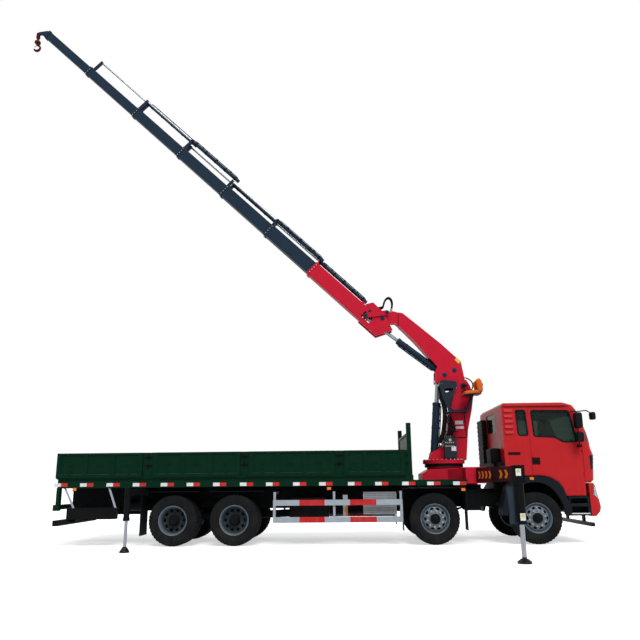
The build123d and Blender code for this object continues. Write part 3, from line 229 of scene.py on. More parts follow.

# Finishes: paint, colour of the rubbed and highlighted edges, and dust, then the dust's amount and height,
# mottling, edge wear and painted edge highlight, roughness and bump; coat, metallic and scale where they
# aren't 0, 0 and 5
finishes = {
    "cabRed": ((0.46, 0.018, 0.022), (0.5, 0.14, 0.12), (0.24, 0.12, 0.1), 0.12, 2.0, 0.06, 0.16, 0.26,
               0.002),
    "craneRed": ((0.52, 0.013, 0.034), (0.46, 0.1, 0.1), (0.26, 0.1, 0.09), 0.1, 3.0, 0.1, 0.25, 0.32,
                 0.003),
    "boomGrey": ((0.016, 0.031, 0.052), (0.07, 0.09, 0.12), (0.05, 0.06, 0.075), 0.1, 3.0, 0.2, 0.3, 0.36,
                 0.003),
    "bedGreen": ((0.0012, 0.0205, 0.0095), (0.02, 0.07, 0.042), (0.016, 0.034, 0.024), 0.14, 2.6, 0.25, 0.3,
                 0.38, 0.004),
    # painted highlight: a lighter green for the strips on the dropsides' ledge tops
    "ledgeHighlightGreen": ((0.016, 0.07, 0.042), (0.05, 0.12, 0.08), (0.03, 0.06, 0.045), 0.2, 2.6, 0.4, 0.3, 0.4,
                  0.002),
    "chassisBlack": ((0.0042, 0.0048, 0.006), (0.03, 0.031, 0.035), (0.02, 0.019, 0.018), 0.3, 1.6, 0.3,
                     0.22, 0.5, 0.004),
    "guardGrey": ((0.34, 0.38, 0.44), (0.2, 0.2, 0.21), (0.2, 0.19, 0.17), 0.3, 1.4, 0.2, 0.3, 0.4, 0.003,
                  dict(coat=0.05)),
    "maroon": ((0.032, 0.0045, 0.007), (0.13, 0.05, 0.05), (0.07, 0.045, 0.04), 0.2, 2.0, 0.2, 0.35, 0.42,
               0.003),
    "plastic": ((0.008, 0.0115, 0.0155), (0.03, 0.032, 0.036), (0.03, 0.03, 0.03), 0.2, 1.6, 0.15, 0.1, 0.5,
                0.002),
    "rubber": ((0.008, 0.009, 0.0105), (0.025, 0.026, 0.028), (0.034, 0.032, 0.029), 0.5, 1.5, 0.3, 0.15,
               0.72, 0.004),
    "rimSteel": ((0.13, 0.165, 0.2), (0.25, 0.26, 0.28), (0.1, 0.09, 0.08), 0.35, 1.2, 0.3, 0.3, 0.42,
                 0.003, dict(coat=0.02, metallic=0.4)),
    # painted shade: a darker copy of the rim steel for the twin wheels' deep discs and their nuts
    "rimSteelShaded": ((0.034, 0.045, 0.052), (0.1, 0.11, 0.12), (0.035, 0.033, 0.03), 0.35, 1.2, 0.3, 0.3, 0.5,
                0.003, dict(metallic=0.2)),
    "boltSteel": ((0.42, 0.4, 0.34), (0.6, 0.58, 0.55), (0.25, 0.2, 0.15), 0.3, 3.0, 0.3, 0.3, 0.38, 0.002,
                  dict(metallic=0.6)),
    "chrome": ((0.26, 0.28, 0.31), (0.5, 0.5, 0.5), (0.3, 0.29, 0.27), 0.08, 2.0, 0.1, 0.1, 0.16, 0.001,
               dict(metallic=1.0)),
    "seatOrange": ((0.62, 0.13, 0.018), (0.4, 0.15, 0.06), (0.35, 0.2, 0.12), 0.2, 5.0, 0.15, 0.2, 0.5,
                   0.01, dict(scale=30.0)),
    "seatCloth": ((0.035, 0.037, 0.042), (0.08, 0.08, 0.08), (0.08, 0.075, 0.07), 0.2, 5.0, 0.3, 0.1, 0.85,
                  0.01, dict(scale=60.0)),
    "hookMaroon": ((0.09, 0.012, 0.014), (0.15, 0.09, 0.08), (0.08, 0.05, 0.045), 0.25, 20.0, 0.3, 0.5,
                   0.48, 0.004, dict(coat=0.03)),
    "stripeWhite": ((0.72, 0.73, 0.75), (0.5, 0.5, 0.5), (0.35, 0.33, 0.3), 0.3, 2.0, 0.12, 0.1, 0.35,
                    0.001, dict(coat=0.2)),
    "stripeRed": ((0.55, 0.012, 0.014), (0.4, 0.1, 0.1), (0.25, 0.15, 0.12), 0.2, 2.0, 0.12, 0.1, 0.3,
                  0.001, dict(coat=0.3)),
    "signOrange": ((0.78, 0.21, 0.015), (0.5, 0.2, 0.1), (0.4, 0.2, 0.1), 0.15, 2.0, 0.1, 0.15, 0.35, 0.001,
                   dict(coat=0.2)),
    "labelYellow": ((0.66, 0.52, 0.045), (0.4, 0.35, 0.2), (0.3, 0.27, 0.2), 0.2, 4.0, 0.1, 0.1, 0.4, 0.001,
                    dict(coat=0.2)),
    "hoseRubber": ((0.008, 0.008, 0.0095), (0.03, 0.03, 0.03), (0.05, 0.05, 0.048), 0.25, 6.0, 0.2, 0.1,
                   0.45, 0.002),
    "plank": ((0.05, 0.055, 0.045), (0.14, 0.13, 0.11), (0.13, 0.12, 0.1), 0.6, 5.0, 0.5, 0.5, 0.6, 0.006,
              dict(scale=9.0)),
    "lampRed": ((0.42, 0.008, 0.008), (0.4, 0.1, 0.1), (0.2, 0.12, 0.1), 0.2, 2.0, 0.1, 0.05, 0.12, 0.001,
                dict(coat=0.6)),
    "lampSilver": ((0.8, 0.82, 0.84), (0.6, 0.6, 0.6), (0.5, 0.5, 0.48), 0.1, 2.0, 0.1, 0.05, 0.12, 0.001,
                   dict(coat=0.3, metallic=0.7)),
}
shaderSet = {"scale": 5.0, "bumpStrength": 0.6, "specular": 0.04, "coatRoughness": 0.12}
slate = (0.02, 0.03, 0.042)
black = (0.008, 0.009, 0.011)
maroonPaint = finishes["maroon"][0]


# The given colour, repainted inside each box of the zones: (low corner, high corner, paint)
def zonedColour(tree, colour, zones):
    for low, high, paint in zones:
        zone = tree.nodes.new("ShaderNodeGroup")
        zone.node_tree = zoneGroup
        zone.inputs["Low"].default_value = low
        zone.inputs["High"].default_value = high
        colour = mixColour(tree, zone.outputs["Mask"], colour, paint)
    return colour


# One finish: the weather group feeds colour, roughness and bump; zones repaint boxes of it
def buildFinish(name, values, zones=()):
    *numbers, extra = values if isinstance(values[-1], dict) else (*values, {})
    material = bpy.data.materials.new(name)
    material.use_nodes = True
    tree = material.node_tree
    shader = tree.nodes["Principled BSDF"]
    group = tree.nodes.new("ShaderNodeGroup")
    group.node_tree = weatherGroup
    names = ("Paint", "Rubbed and highlit", "Dust", "Dust amount", "Dust height", "Mottle", "Edge wear and highlight",
             "Roughness base")
    for socket, value in zip(names, numbers):
        group.inputs[socket].default_value = (*value, 1) if isinstance(value, tuple) else value
    group.inputs["Scale"].default_value = extra.get("scale", shaderSet["scale"])
    if zones:
        tree.links.new(zonedColour(tree, numbers[0], zones), group.inputs["Paint"])
    bump = tree.nodes.new("ShaderNodeBump")
    bump.inputs["Strength"].default_value = shaderSet["bumpStrength"]
    bump.inputs["Distance"].default_value = numbers[-1]
    tree.links.new(group.outputs["Colour"], shader.inputs["Base Color"])
    tree.links.new(group.outputs["Roughness"], shader.inputs["Roughness"])
    tree.links.new(group.outputs["Height"], bump.inputs["Height"])
    tree.links.new(bump.outputs[0], shader.inputs["Normal"])
    shader.inputs["Metallic"].default_value = extra.get("metallic", 0.0)
    shader.inputs["Specular IOR Level"].default_value = shaderSet["specular"]
    shader.inputs["Coat Weight"].default_value = extra.get("coat", 0.0)
    shader.inputs["Coat Roughness"].default_value = shaderSet["coatRoughness"]
    return material


glassSet = {
    "tint": (0.16, 0.22, 0.19),
    "darker": 0.7,
    "roughness": (0.02, 0.1),
    "through": 0.92,
    "ior": 1.1,
    "coat": 0.015,
    "zones": (((6.9, -1.3, 0.8), (7.3, 1.3, 1.25), (0.62, 0.65, 0.66)),),  # the headlamps' covers
}


# Tinted glass with faint streaks, clearer in its zones
def buildGlass(values=glassSet):
    material = bpy.data.materials.new("glass")
    material.use_nodes = True
    tree = material.node_tree
    shader = tree.nodes["Principled BSDF"]
    coords = tree.nodes.new("ShaderNodeTexCoord").outputs["Object"]
    streaks = rangeNode(tree, noiseNode(tree, coords, 4.0, 3.0), 0.3, 0.8)
    dark = tuple(value * values["darker"] for value in values["tint"])
    colour = zonedColour(tree, mixColour(tree, streaks, values["tint"], dark), values["zones"])
    tree.links.new(colour, shader.inputs["Base Color"])
    roughness = rangeNode(tree, noiseNode(tree, coords, 9.0, 4.0), 0.2, 0.8, *values["roughness"])
    tree.links.new(roughness, shader.inputs["Roughness"])
    shader.inputs["Transmission Weight"].default_value = values["through"]
    shader.inputs["IOR"].default_value = values["ior"]
    shader.inputs["Coat Weight"].default_value = values["coat"]
    return material


materials = {name: buildFinish(name, values) for name, values in finishes.items()}
materials["glass"] = buildGlass()
print("finishes ready:", len(materials))


# The names of a pair of nodes or bodies, right and left, for each stem
def pairNames(*stems):
    return [f"{stem}_{sideName}" for stem in stems for sideName in sideSigns]


# Finish of each CAD node that stays
nodeFinishes = {
    "craneRed": ("inner_boom", "outer_boom", "knuckle_link"),
    "boomGrey": ("lift_barrel", "fold_barrel", *(f"boom_section_{number}" for number in range(1, 7))),
    "bedGreen": ("bed_floor", "headboard", "tailgate", *pairNames("dropside")),
    "maroon": pairNames("front_beam"),
    "plastic": ("mudguards", "cab_fenders"),
    "chassisBlack": ("chassis_frame", "steered_axles", "driven_axles", "engine",
                     *pairNames("rear_beam", "knuckle_1", "knuckle_2")),
    "chrome": ("lift_rod", "fold_rod"),
    "hookMaroon": ("hook",),
    "glass": ("cab_glass", *pairNames("door_glass")),
}
wide = 9.0  # beyond every face
lining = (0.05, 0.052, 0.055)
legSlate = (0.03, 0.045, 0.062)
guardRed = (0.5, 0.012, 0.016)


# A zone of the right side and its mirror image: y from low to high becomes -high to -low
def mirrored(low, high, paint):
    return (low, high, paint), ((low[0], -high[1], low[2]), (high[0], -low[1], high[2]), paint)


doorZones = [mirrored((5.0, -wide, 1.9), (9.0, -1.193, 3.0), black),
             mirrored((5.6995, -1.19, 1.6615), (5.8725, -1.14, 1.8155), black)]
# Nodes painted in more than one colour: finish, then boxes of another paint
zonedNodes = {
    "cab_shell": ("cabRed", (((5.12, -1.145, 1.2), (6.6, 1.145, 2.985), lining),
                             ((6.6, -1.145, 1.2), (6.75, 1.145, 2.87), lining),
                             ((6.75, -1.145, 1.2), (6.96, 1.145, 2.3), lining),
                             *mirrored((5.19, -wide, 1.87), (5.455, -1.155, 1.935), black),
                             *mirrored((6.95, -wide, 1.55), (7.3, -1.0, 1.85), black))),
    "bumper": ("cabRed", (((6.7, -wide, 0.0), (7.3, wide, 0.5699), black),
                          ((6.7, -0.75, 0.5), (7.045, 0.75, 1.0), black))),
    "tanks": ("chassisBlack", (((1.98, -1.2, 0.6), (2.72, -0.3, 1.12), (0.36, 0.38, 0.4)),
                               ((1.53, -1.2, 0.6), (1.65, -1.05, 1.06), (0.42, 0.43, 0.44)),
                               ((1.59, -1.2, 0.6), (1.65, -1.05, 0.84), (0.6, 0.22, 0.04)))),
    "crane_base": ("craneRed", (((3.4, -0.46, 1.645), (4.42, 0.46, 1.7249), black),)),
    "column": ("craneRed", (*mirrored((3.5, -wide, 2.88), (4.9, -0.2055, 3.9), slate),
                            ((3.92, -0.39, 1.84), (4.22, -0.2055, 2.33), slate))),
    "side_guards": ("guardGrey", (((0.585, -wide, 0.3), (1.138, wide, 0.97), guardRed),
                                  ((1.691, -wide, 0.3), (2.263, wide, 0.97), guardRed))),
    "front_leg_right": ("chassisBlack", (((4.0, -4.255, 1.3), (5.0, 0.0, 1.6), maroonPaint),
                                         ((4.2, -wide, 0.6), (4.47, -4.2, 1.24), legSlate))),
    "front_leg_left": ("chassisBlack", (((4.0, 0.0, 1.3), (5.0, 4.255, 1.6), maroonPaint),
                                        ((4.42, 4.2, 0.6), (4.6, wide, 1.24), legSlate))),
}
for place, sideName in enumerate(sideSigns):
    zonedNodes[f"door_{sideName}"] = ("cabRed", [zones[place] for zones in doorZones])
    zonedNodes[f"front_foot_{sideName}"] = ("chrome", (((3.9, -wide, -0.5), (5.2, wide, 0.105), black),))
    zonedNodes[f"rear_foot_{sideName}"] = ("chrome", (((-9.0, -wide, -0.5), (5.2, wide, 0.118), black),))


def dressNode(name, material):
    data = cadNodes[name].data
    if not data.materials:
        data.materials.append(material)
    for place in range(len(data.materials)):
        data.materials[place] = material


for finish, names in nodeFinishes.items():
    for name in names:
        dressNode(name, materials[finish])
for name, (finish, zones) in zonedNodes.items():
    dressNode(name, buildFinish(f"{finish}-{name}", finishes[finish], zones))
print("nodes dressed")


# Mesh makers. A part is (points, faces): an (n, 3) array and an (m, 4) or (m, 3) array of places in it.
# Quads between neighbouring rows and columns of a grid; either way round may be closed
def gridFaces(rows, columns, closeRows=False, closeColumns=False):
    row = np.arange(rows if closeRows else rows - 1)[:, None]
    column = np.arange(columns if closeColumns else columns - 1)[None, :]
    nextRow, nextColumn = (row + 1) % rows, (column + 1) % columns
    corners = [row * columns + column, row * columns + nextColumn, nextRow * columns + nextColumn,
               nextRow * columns + column]
    shape = (row.shape[0], column.shape[1])
    return np.stack([np.broadcast_to(part, shape).ravel() for part in corners], axis=1)


# Puts all parts of a piece in one mesh, closes seams and poles, and turns its faces outward
def makePiece(name, parts, material, body, replaced=(), bevel=0.0, smoothAngle=40.0, solid=0.0):
    mesh = bmesh.new()
    start, points, faces = 0, [], []
    for partPoints, partFaces in parts:
        points.append(np.asarray(partPoints, dtype=float))
        faces.extend((np.asarray(partFaces) + start).tolist())
        start += len(points[-1])
    data = bpy.data.meshes.new(name)
    data.from_pydata(np.concatenate(points).tolist(), [], faces)
    mesh.from_mesh(data)
    bmesh.ops.remove_doubles(mesh, verts=mesh.verts, dist=1e-6)
    bmesh.ops.recalc_face_normals(mesh, faces=mesh.faces)
    mesh.to_mesh(data)
    mesh.free()
    data.polygons.foreach_set("use_smooth", np.ones(len(data.polygons), dtype=bool))
    data.set_sharp_from_angle(angle=radians(smoothAngle))
    data.materials.append(materials[material])
    piece = bpy.data.objects.new(name, data)
    scene.collection.objects.link(piece)
    if solid:
        wall = piece.modifiers.new("wall", "SOLIDIFY")
        wall.thickness = solid
        wall.offset = -1.0
    if bevel:
        edge = piece.modifiers.new("edge", "BEVEL")
        edge.width = bevel
        edge.segments = 1
        edge.limit_method = "ANGLE"
    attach(piece, body)
    if replaced:
        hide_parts(*replaced)
    return piece


# Boxes from arrays of centres and sizes, all turned by the same 3x3 matrix where one is given
def boxParts(centres, sizes, turn=None):
    centres, sizes = np.atleast_2d(np.asarray(centres, float)), np.atleast_2d(np.asarray(sizes, float))
    sizes = np.broadcast_to(sizes, centres.shape)
    signs = np.array([(x, y, z) for x in (-1, 1) for y in (-1, 1) for z in (-1, 1)], float) * 0.5
    corners = signs[None] * sizes[:, None]
    if turn is not None:
        corners = np.einsum("...ij,...kj->...ki", turn, corners)
    corners = corners + centres[:, None]
    quads = np.array([(0, 1, 3, 2), (4, 6, 7, 5), (0, 4, 5, 1), (2, 3, 7, 6), (0, 2, 6, 4), (1, 5, 7, 3)])
    faces = quads[None] + 8 * np.arange(len(centres))[:, None, None]
    return corners.reshape(-1, 3), faces.reshape(-1, 4)


# The same places on both sides, the right one first: (x, side * y, z)
def bothSides(places):
    places = np.atleast_2d(np.asarray(places, float))
    return np.concatenate([places * (1, side, 1) for side in sideSigns.values()])


# Two unit vectors square to each axis of an array
def crossAxes(axes):
    axes = axes / np.linalg.norm(axes, axis=-1, keepdims=True)
    helper = np.where(np.abs(axes[..., 2:3]) < 0.9, np.array((0.0, 0.0, 1.0)), np.array((1.0, 0.0, 0.0)))
    first = np.cross(helper, axes)
    first /= np.linalg.norm(first, axis=-1, keepdims=True)
    return axes, first, np.cross(axes, first)


# A profile of (distance along the axis, radius) turned round an axis; radius 0 closes a pole
# point = start + distance * axis + radius * (cos(a) * first + sin(a) * second)
def turnedPart(start, axis, profile, sides=32):
    axis, first, second = crossAxes(np.asarray(axis, float)[None])
    profile = np.asarray(profile, float)
    angle = np.arange(sides) * 2 * pi / sides
    ring = np.cos(angle)[:, None] * first + np.sin(angle)[:, None] * second
    points = np.asarray(start, float) + profile[:, None, 0:1] * axis + profile[:, None, 1:2] * ring[None]
    return points.reshape(-1, 3), gridFaces(len(profile), sides, closeColumns=True)


# Many like discs or bolts at once: the same turned profile at each of several centres along one axis
def manyTurned(centres, axis, profile, sides=6):
    points, faces = turnedPart((0, 0, 0), axis, profile, sides)
    centres = np.atleast_2d(np.asarray(centres, float))
    everyPoint = (points[None] + centres[:, None]).reshape(-1, 3)
    everyFace = (faces[None] + len(points) * np.arange(len(centres))[:, None, None]).reshape(-1, 4)
    return everyPoint, everyFace


# A round tube along given points, with closed ends; each ring stands square to the run of its neighbours
def tubePart(path, radius, sides=10):
    path = np.asarray(path, float)
    along = np.gradient(path, axis=0)
    axes, first, second = crossAxes(along)
    for place in range(1, len(path)):  # keep the rings from twisting
        first[place] = first[place - 1] - axes[place] * np.dot(first[place - 1], axes[place])
        first[place] /= np.linalg.norm(first[place])
        second[place] = np.cross(axes[place], first[place])
    angle = np.arange(sides) * 2 * pi / sides
    ring = first[:, None] * np.cos(angle)[None, :, None] + second[:, None] * np.sin(angle)[None, :, None]
    rings = path[:, None] + np.broadcast_to(radius, len(path))[:, None, None] * ring
    ends = np.broadcast_to(path[[0, -1]][:, None], (2, sides, 3))
    points = np.concatenate([ends[:1], rings, ends[1:]]).reshape(-1, 3)
    return points, gridFaces(len(path) + 2, sides, closeColumns=True)


# A flat outline in two axes carried through a thickness on the third; fans close both faces
def platePart(outline, axis, low, high):
    outline = np.asarray(outline, float)
    count = len(outline)
    others = [place for place in range(3) if place != axis]
    layers = np.zeros((4, count, 3))
    layers[..., others[0]] = outline[:, 0]
    layers[..., others[1]] = outline[:, 1]
    layers[0, :, others[0]], layers[0, :, others[1]] = outline.mean(axis=0)
    layers[3, :, others[0]], layers[3, :, others[1]] = outline.mean(axis=0)
    layers[0:2, :, axis], layers[2:4, :, axis] = low, high
    return layers.reshape(-1, 3), gridFaces(4, count, closeColumns=True)


# A bar from rows of four points each, closed at both ends
def barPart(rows):
    caps = np.array([(0, 1, 2, 3), np.array((3, 2, 1, 0)) + 4 * (len(rows) - 1)])
    return rows.reshape(-1, 3), np.concatenate([gridFaces(len(rows), 4, closeColumns=True), caps])


# Rounded corners for an outline: (1 - t)^2 * start + 2 * t * (1 - t) * corner + t^2 * end at each corner
def roundedOutline(corners, radius, steps=5):
    corners = np.asarray(corners, float)
    before = np.roll(corners, 1, axis=0) - corners
    after = np.roll(corners, -1, axis=0) - corners
    reach = np.minimum(np.linalg.norm(before, axis=1), np.linalg.norm(after, axis=1)) * 0.45
    reach = np.minimum(reach, radius)[:, None]
    start = corners + before / np.linalg.norm(before, axis=1, keepdims=True) * reach
    end = corners + after / np.linalg.norm(after, axis=1, keepdims=True) * reach
    share = np.linspace(0, 1, steps)[None, :, None]
    curve = (1 - share) ** 2 * start[:, None] + 2 * share * (1 - share) * corners[:, None]
    return (curve + share**2 * end[:, None]).reshape(-1, 2)


# Places on the lorry, in metres, as the CAD has them
axleX = {1: 5.7, 2: 3.52, 3: -0.845, 4: -2.195}
axleHeight = 0.542
slewX = 3.94
boomSet = {
    "knuckle": (2.594, 5.282),
    "angle": 43.8,
    "tips": (2.228, 3.81, 5.477, 7.167, 8.983, 10.956, 12.756),  # along the boom from the knuckle
    "collarFaces": (0.164, 0.15, 0.138, 0.126, 0.114, 0.102),
    "lanes": ((0, 0.06), (-0.115, 0.105), (0.115, 0.105), (-0.06, 0.225), (0.06, 0.225)),
    "barrels": (1.64, 1.68, 1.72, 1.82, 1.97),
}
boomOut = np.array((-cos(radians(boomSet["angle"])), 0.0, sin(radians(boomSet["angle"]))))
boomUp = np.array((sin(radians(boomSet["angle"])), 0.0, cos(radians(boomSet["angle"]))))
boomTurn = np.stack([boomOut, (0.0, 1.0, 0.0), boomUp], axis=1)


# The boom's own frame: u along it from the knuckle, n above its line, y across
def boomPoint(u, n, y=0.0):
    return np.array((boomSet["knuckle"][0], y, boomSet["knuckle"][1])) + u * boomOut + n * boomUp


# Tyre and rim of one wheel. The tyre is its section turned round the axle, with grooves and shoulder lugs
# pressed in by arrays; the rim is turned too, and its hand holes are faces left out before it gets a wall
tyreSet = {
    "around": 168,
    "lugs": 42,
    "lugDepth": 0.011,
    # place across from the middle, radius, how deep the lugs cut there
    "section": (
        (0.108, 0.305, 0), (0.121, 0.318, 0), (0.131, 0.345, 0), (0.1425, 0.395, 0), (0.1475, 0.43, 0),
        (0.1455, 0.458, 0), (0.1415, 0.462, 0), (0.1405, 0.478, 0), (0.135, 0.502, 0.5), (0.127, 0.522, 1),
        (0.112, 0.537, 1), (0.088, 0.5405, 1), (0.0875, 0.5275, 0), (0.0765, 0.5275, 0),
        (0.076, 0.5415, 0.45), (0.046, 0.542, 0.45), (0.0455, 0.5285, 0), (0.0345, 0.5285, 0),
        (0.034, 0.542, 0.4), (0.0, 0.542, 0.4)),
}


# radius(a) = section radius - lug depth * (1 over every second sector, shifted by one on the other shoulder)
def tyrePart(x, y, settings=tyreSet):
    half = np.array(settings["section"])
    section = np.concatenate([half, half[-2::-1] * (-1, 1, 1)])
    angle = np.arange(settings["around"]) * 2 * pi / settings["around"]
    lug = (np.floor(angle * settings["lugs"] * 2 / (2 * pi) + 0.01) % 2)[:, None]
    shift = np.where(section[:, 0] < 0, 1.0, 0.0)[None]
    lug = np.abs(lug - shift)
    radius = section[None, :, 1] - lug * section[None, :, 2] * settings["lugDepth"]
    points = np.stack([x + radius * np.sin(angle)[:, None],
                       y + np.broadcast_to(section[None, :, 0], radius.shape),
                       axleHeight + radius * np.cos(angle)[:, None]], axis=-1)
    return points.reshape(-1, 3), gridFaces(settings["around"], len(section), closeRows=True)


# A disc of rings from a profile, with oval hand holes where faces are left out: the middle rings lose them
# from place 3 of each sector on, and the rings inside those from place 2 on
def discPart(x, side, profile, holes, holeRings, around=100):
    profile = np.asarray(profile, float)
    angle = np.arange(around) * 2 * pi / around
    points = np.stack(np.broadcast_arrays(x + profile[:, 1:] * np.sin(angle)[None], side * profile[:, :1],
                                          axleHeight + profile[:, 1:] * np.cos(angle)[None]), axis=-1)
    faces = gridFaces(len(profile), around, closeColumns=True)[:, ::-side]
    ring = np.repeat(np.arange(len(profile) - 1), around)
    sector = around // holes
    place = np.tile(np.arange(around), len(profile) - 1) % sector
    low, high = holeRings
    middle = (ring >= low) & (ring < high) & (place >= 3) & (place < sector - 3)
    inner = (ring >= low + 1) & (ring < high - 1) & (place >= 2) & (place < sector - 2)
    return points.reshape(-1, 3), faces[~(middle | inner)]


wheelSet = {
    "holes": 10, "holeRings": (3, 7),
    "studs": 10, "studCircle": 0.1675, "studTurn": 0.2,
    "wall": 0.008,
    # across from the tyre's middle towards the outside, radius
    "ring": ((-0.115, 0.318), (-0.122, 0.3), (-0.1, 0.292), (-0.06, 0.272), (0.03, 0.272), (0.085, 0.286),
             (0.115, 0.3), (0.125, 0.309), (0.131, 0.318)),
    "drum": ((-0.12, 0.0), (-0.12, 0.24), (0.02, 0.255), (0.02, 0.1), (0.02, 0.0)),
    "nut": ((0.0, 0.0), (0.0, 0.0215), (0.007, 0.0215), (0.0071, 0.0165), (0.026, 0.0165), (0.0261, 0.0105),
            (0.042, 0.01), (0.042, 0.0)),
    "single": {
        "tyres": (1.09,), "drumShift": 0.0, "studs": "boltSteel", "face": 0.121,
        "disc": ((0.062, 0.283), (0.07, 0.272), (0.088, 0.255), (0.103, 0.24), (0.111, 0.228),
                 (0.117, 0.216), (0.121, 0.204), (0.122, 0.19), (0.121, 0.135), (0.128, 0.12),
                 (0.14, 0.112)),
        "hub": ((0.135, 0.112), (0.16, 0.108), (0.172, 0.09), (0.176, 0.062), (0.19, 0.058), (0.197, 0.045),
                (0.198, 0.0)),
    },
    "twin": {
        # the nuts take the rim steel's darker copy, painted shade
        "tyres": (1.0925, 1.0925 - 0.335), "drumShift": -0.14, "studs": "rimSteelShaded", "face": -0.052,
        "disc": ((0.06, 0.282), (0.0, 0.268), (-0.02, 0.255), (-0.032, 0.24), (-0.04, 0.228),
                 (-0.046, 0.216), (-0.05, 0.204), (-0.052, 0.19), (-0.052, 0.135), (-0.045, 0.125),
                 (-0.03, 0.12)),
        "hub": ((-0.04, 0.121), (0.03, 0.118), (0.045, 0.105), (0.05, 0.085), (0.1, 0.082), (0.112, 0.07),
                (0.114, 0.0)),
    },
}


def buildWheel(axle, sideName, settings=wheelSet):
    side, centre = sideSigns[sideName], (axleX[axle], 0, axleHeight)
    name, body, twin = f"{axle}-{sideName}", f"wheel_{axle}_{sideName}", axle > 2
    kind = settings["twin" if twin else "single"]
    track, across = kind["tyres"][0], (0, side, 0)
    makePiece(f"tyre-{name}", [tyrePart(centre[0], side * middle) for middle in kind["tyres"]], "rubber",
              body, replaced=(body,), smoothAngle=28.0)
    rings = [turnedPart(centre, across, np.array(settings["ring"]) + (middle, 0), 64)
             for middle in kind["tyres"]]
    disc = discPart(centre[0], side, np.array(kind["disc"]) + (track, 0), settings["holes"],
                    settings["holeRings"])
    makePiece(f"rim-{name}", rings if twin else [*rings, disc], "rimSteel", body, solid=settings["wall"],
              smoothAngle=35.0)
    # the twin wheels' disc takes the rim steel's darker copy, painted shade for its depth
    if twin:
        makePiece(f"disc-{name}", [disc], "rimSteelShaded", body, solid=settings["wall"], smoothAngle=35.0)
    drum = np.array(settings["drum"]) + (track + kind["drumShift"], 0)
    makePiece(f"hub-{name}", [turnedPart(centre, across, np.array(kind["hub"]) + (track, 0), 40),
                              turnedPart(centre, across, drum, 40)], "chassisBlack", body)
    angle = np.arange(settings["studs"]) * 2 * pi / settings["studs"] + settings["studTurn"]
    centres = np.stack([centre[0] + settings["studCircle"] * np.cos(angle),
                        np.full(len(angle), side * (track + kind["face"])),
                        axleHeight + settings["studCircle"] * np.sin(angle)], axis=1)
    makePiece(f"studs-{name}", [manyTurned(centres, across, settings["nut"], 6)], kind["studs"], body)


for axle in axleX:
    for sideName in sideSigns:
        buildWheel(axle, sideName)
print("wheels built")


# The points of a smooth line through its control points, as Blender's own NURBS spline gives them
def splinePoints(controls, steps=6):
    curve = bpy.data.curves.new("route", "CURVE")
    curve.dimensions = "3D"
    spline = curve.splines.new("NURBS")
    spline.points.add(len(controls) - 1)
    spline.points.foreach_set("co", np.column_stack([controls, np.ones(len(controls))]).ravel())
    spline.order_u = 3
    spline.use_endpoint_u = True
    curve.resolution_u = steps
    holder = bpy.data.objects.new("route", curve)
    scene.collection.objects.link(holder)
    mesh = bpy.data.meshes.new_from_object(holder)
    points = np.empty(3 * len(mesh.vertices))
    mesh.vertices.foreach_get("co", points)
    bpy.data.objects.remove(holder)
    bpy.data.curves.remove(curve)
    bpy.data.meshes.remove(mesh)
    return points.reshape(-1, 3)


# A hydraulic hose with a pressed fitting at each end; one that crosses a joint is taken off its body and
# stays where it is built
def buildHose(name, values):
    points = splinePoints(values["route"])
    radius = values["diameter"] / 2
    hose = makePiece(name, [tubePart(points, radius, 12)], "hoseRubber", values["bodies"][0])
    if len(values["bodies"]) > 1:
        hose.parent = None
        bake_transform(hose)
    fitting = np.array(((-1, 0.0), (-1, 1.15), (2.2, 1.15), (2.21, 1.5), (3.4, 1.5), (3.41, 0.0))) * radius
    for place, ahead, body in ((0, 1, values["bodies"][0]), (-1, -2, values["bodies"][-1])):
        end = turnedPart(points[place], points[ahead] - points[place], fitting, 6)
        makePiece(f"{name}-end{-place}", [end], "boltSteel", body)


# Routes are control points in metres. Hoses loop over the knuckle, climb the mast from the valves, run down
# its front and reach the seat's levers; "shift" is what each next hose adds
hoseSet = {
    "knuckle": ((2.264, 5.559), (2.34, 5.545), (2.44, 5.56), (2.51, 5.58), (2.57, 5.585), (2.628, 5.6),
                (2.645, 5.69), (2.69, 5.795), (2.765, 5.85), (2.84, 5.795), (2.862, 5.67), (2.84, 5.56),
                (2.815, 5.47)),
    "knuckleLanes": ((-0.075, 0.0), (-0.026, 0.012), (0.028, 0.004), (0.078, 0.016)),  # y, rise of the loop
    "mast": ((4.09, -0.3, 2.30), (4.1, -0.3, 2.36), (4.215, -0.29, 2.5), (4.17, -0.27, 2.69),
             (4.105, -0.24, 2.86), (4.075, -0.234, 3.08), (4.085, -0.234, 3.3)),
    "mastEnd": ((4.2, -0.234, 3.45), (4.31, -0.19, 3.5)),
    "mastShift": -0.042,
    "front": ((3.975, -0.262, 3.6), (3.955, -0.235, 3.56), (3.962, -0.232, 3.4), (3.995, -0.232, 3.2),
              (4.035, -0.232, 3.0), (4.03, -0.235, 2.8), (4.0, -0.25, 2.6), (3.96, -0.27, 2.4),
              (3.9, -0.275, 2.28), (3.895, -0.27, 2.2)),
    "frontShift": (0.036, 0.05),
    "seat": ((4.52, -0.11, 3.78), (4.56, -0.12, 3.765), (4.63, -0.16, 3.72), (4.695, -0.22, 3.64),
             (4.71, -0.235, 3.55), (4.68, -0.225, 3.45), (4.63, -0.19, 3.4)),
}
hoses = {}
for number, (y, rise) in enumerate(hoseSet["knuckleLanes"]):
    hoses[f"knuckle-hose-{number}"] = dict(
        route=[(x, y, z + rise * min(max((x - 2.6) / 0.1, 0), 1)) for x, z in hoseSet["knuckle"]],
        diameter=0.044, bodies=("outer_boom", "inner_boom"), start=(2.6, y, 5.6), end=(2.84, y, 5.6))
for number in range(4):
    route = [(x + hoseSet["mastShift"] * number, y, z) for x, y, z in hoseSet["mast"]]
    hoses[f"mast-hose-{number}"] = dict(route=route + list(hoseSet["mastEnd"]), diameter=0.034,
                                        bodies=("column",))
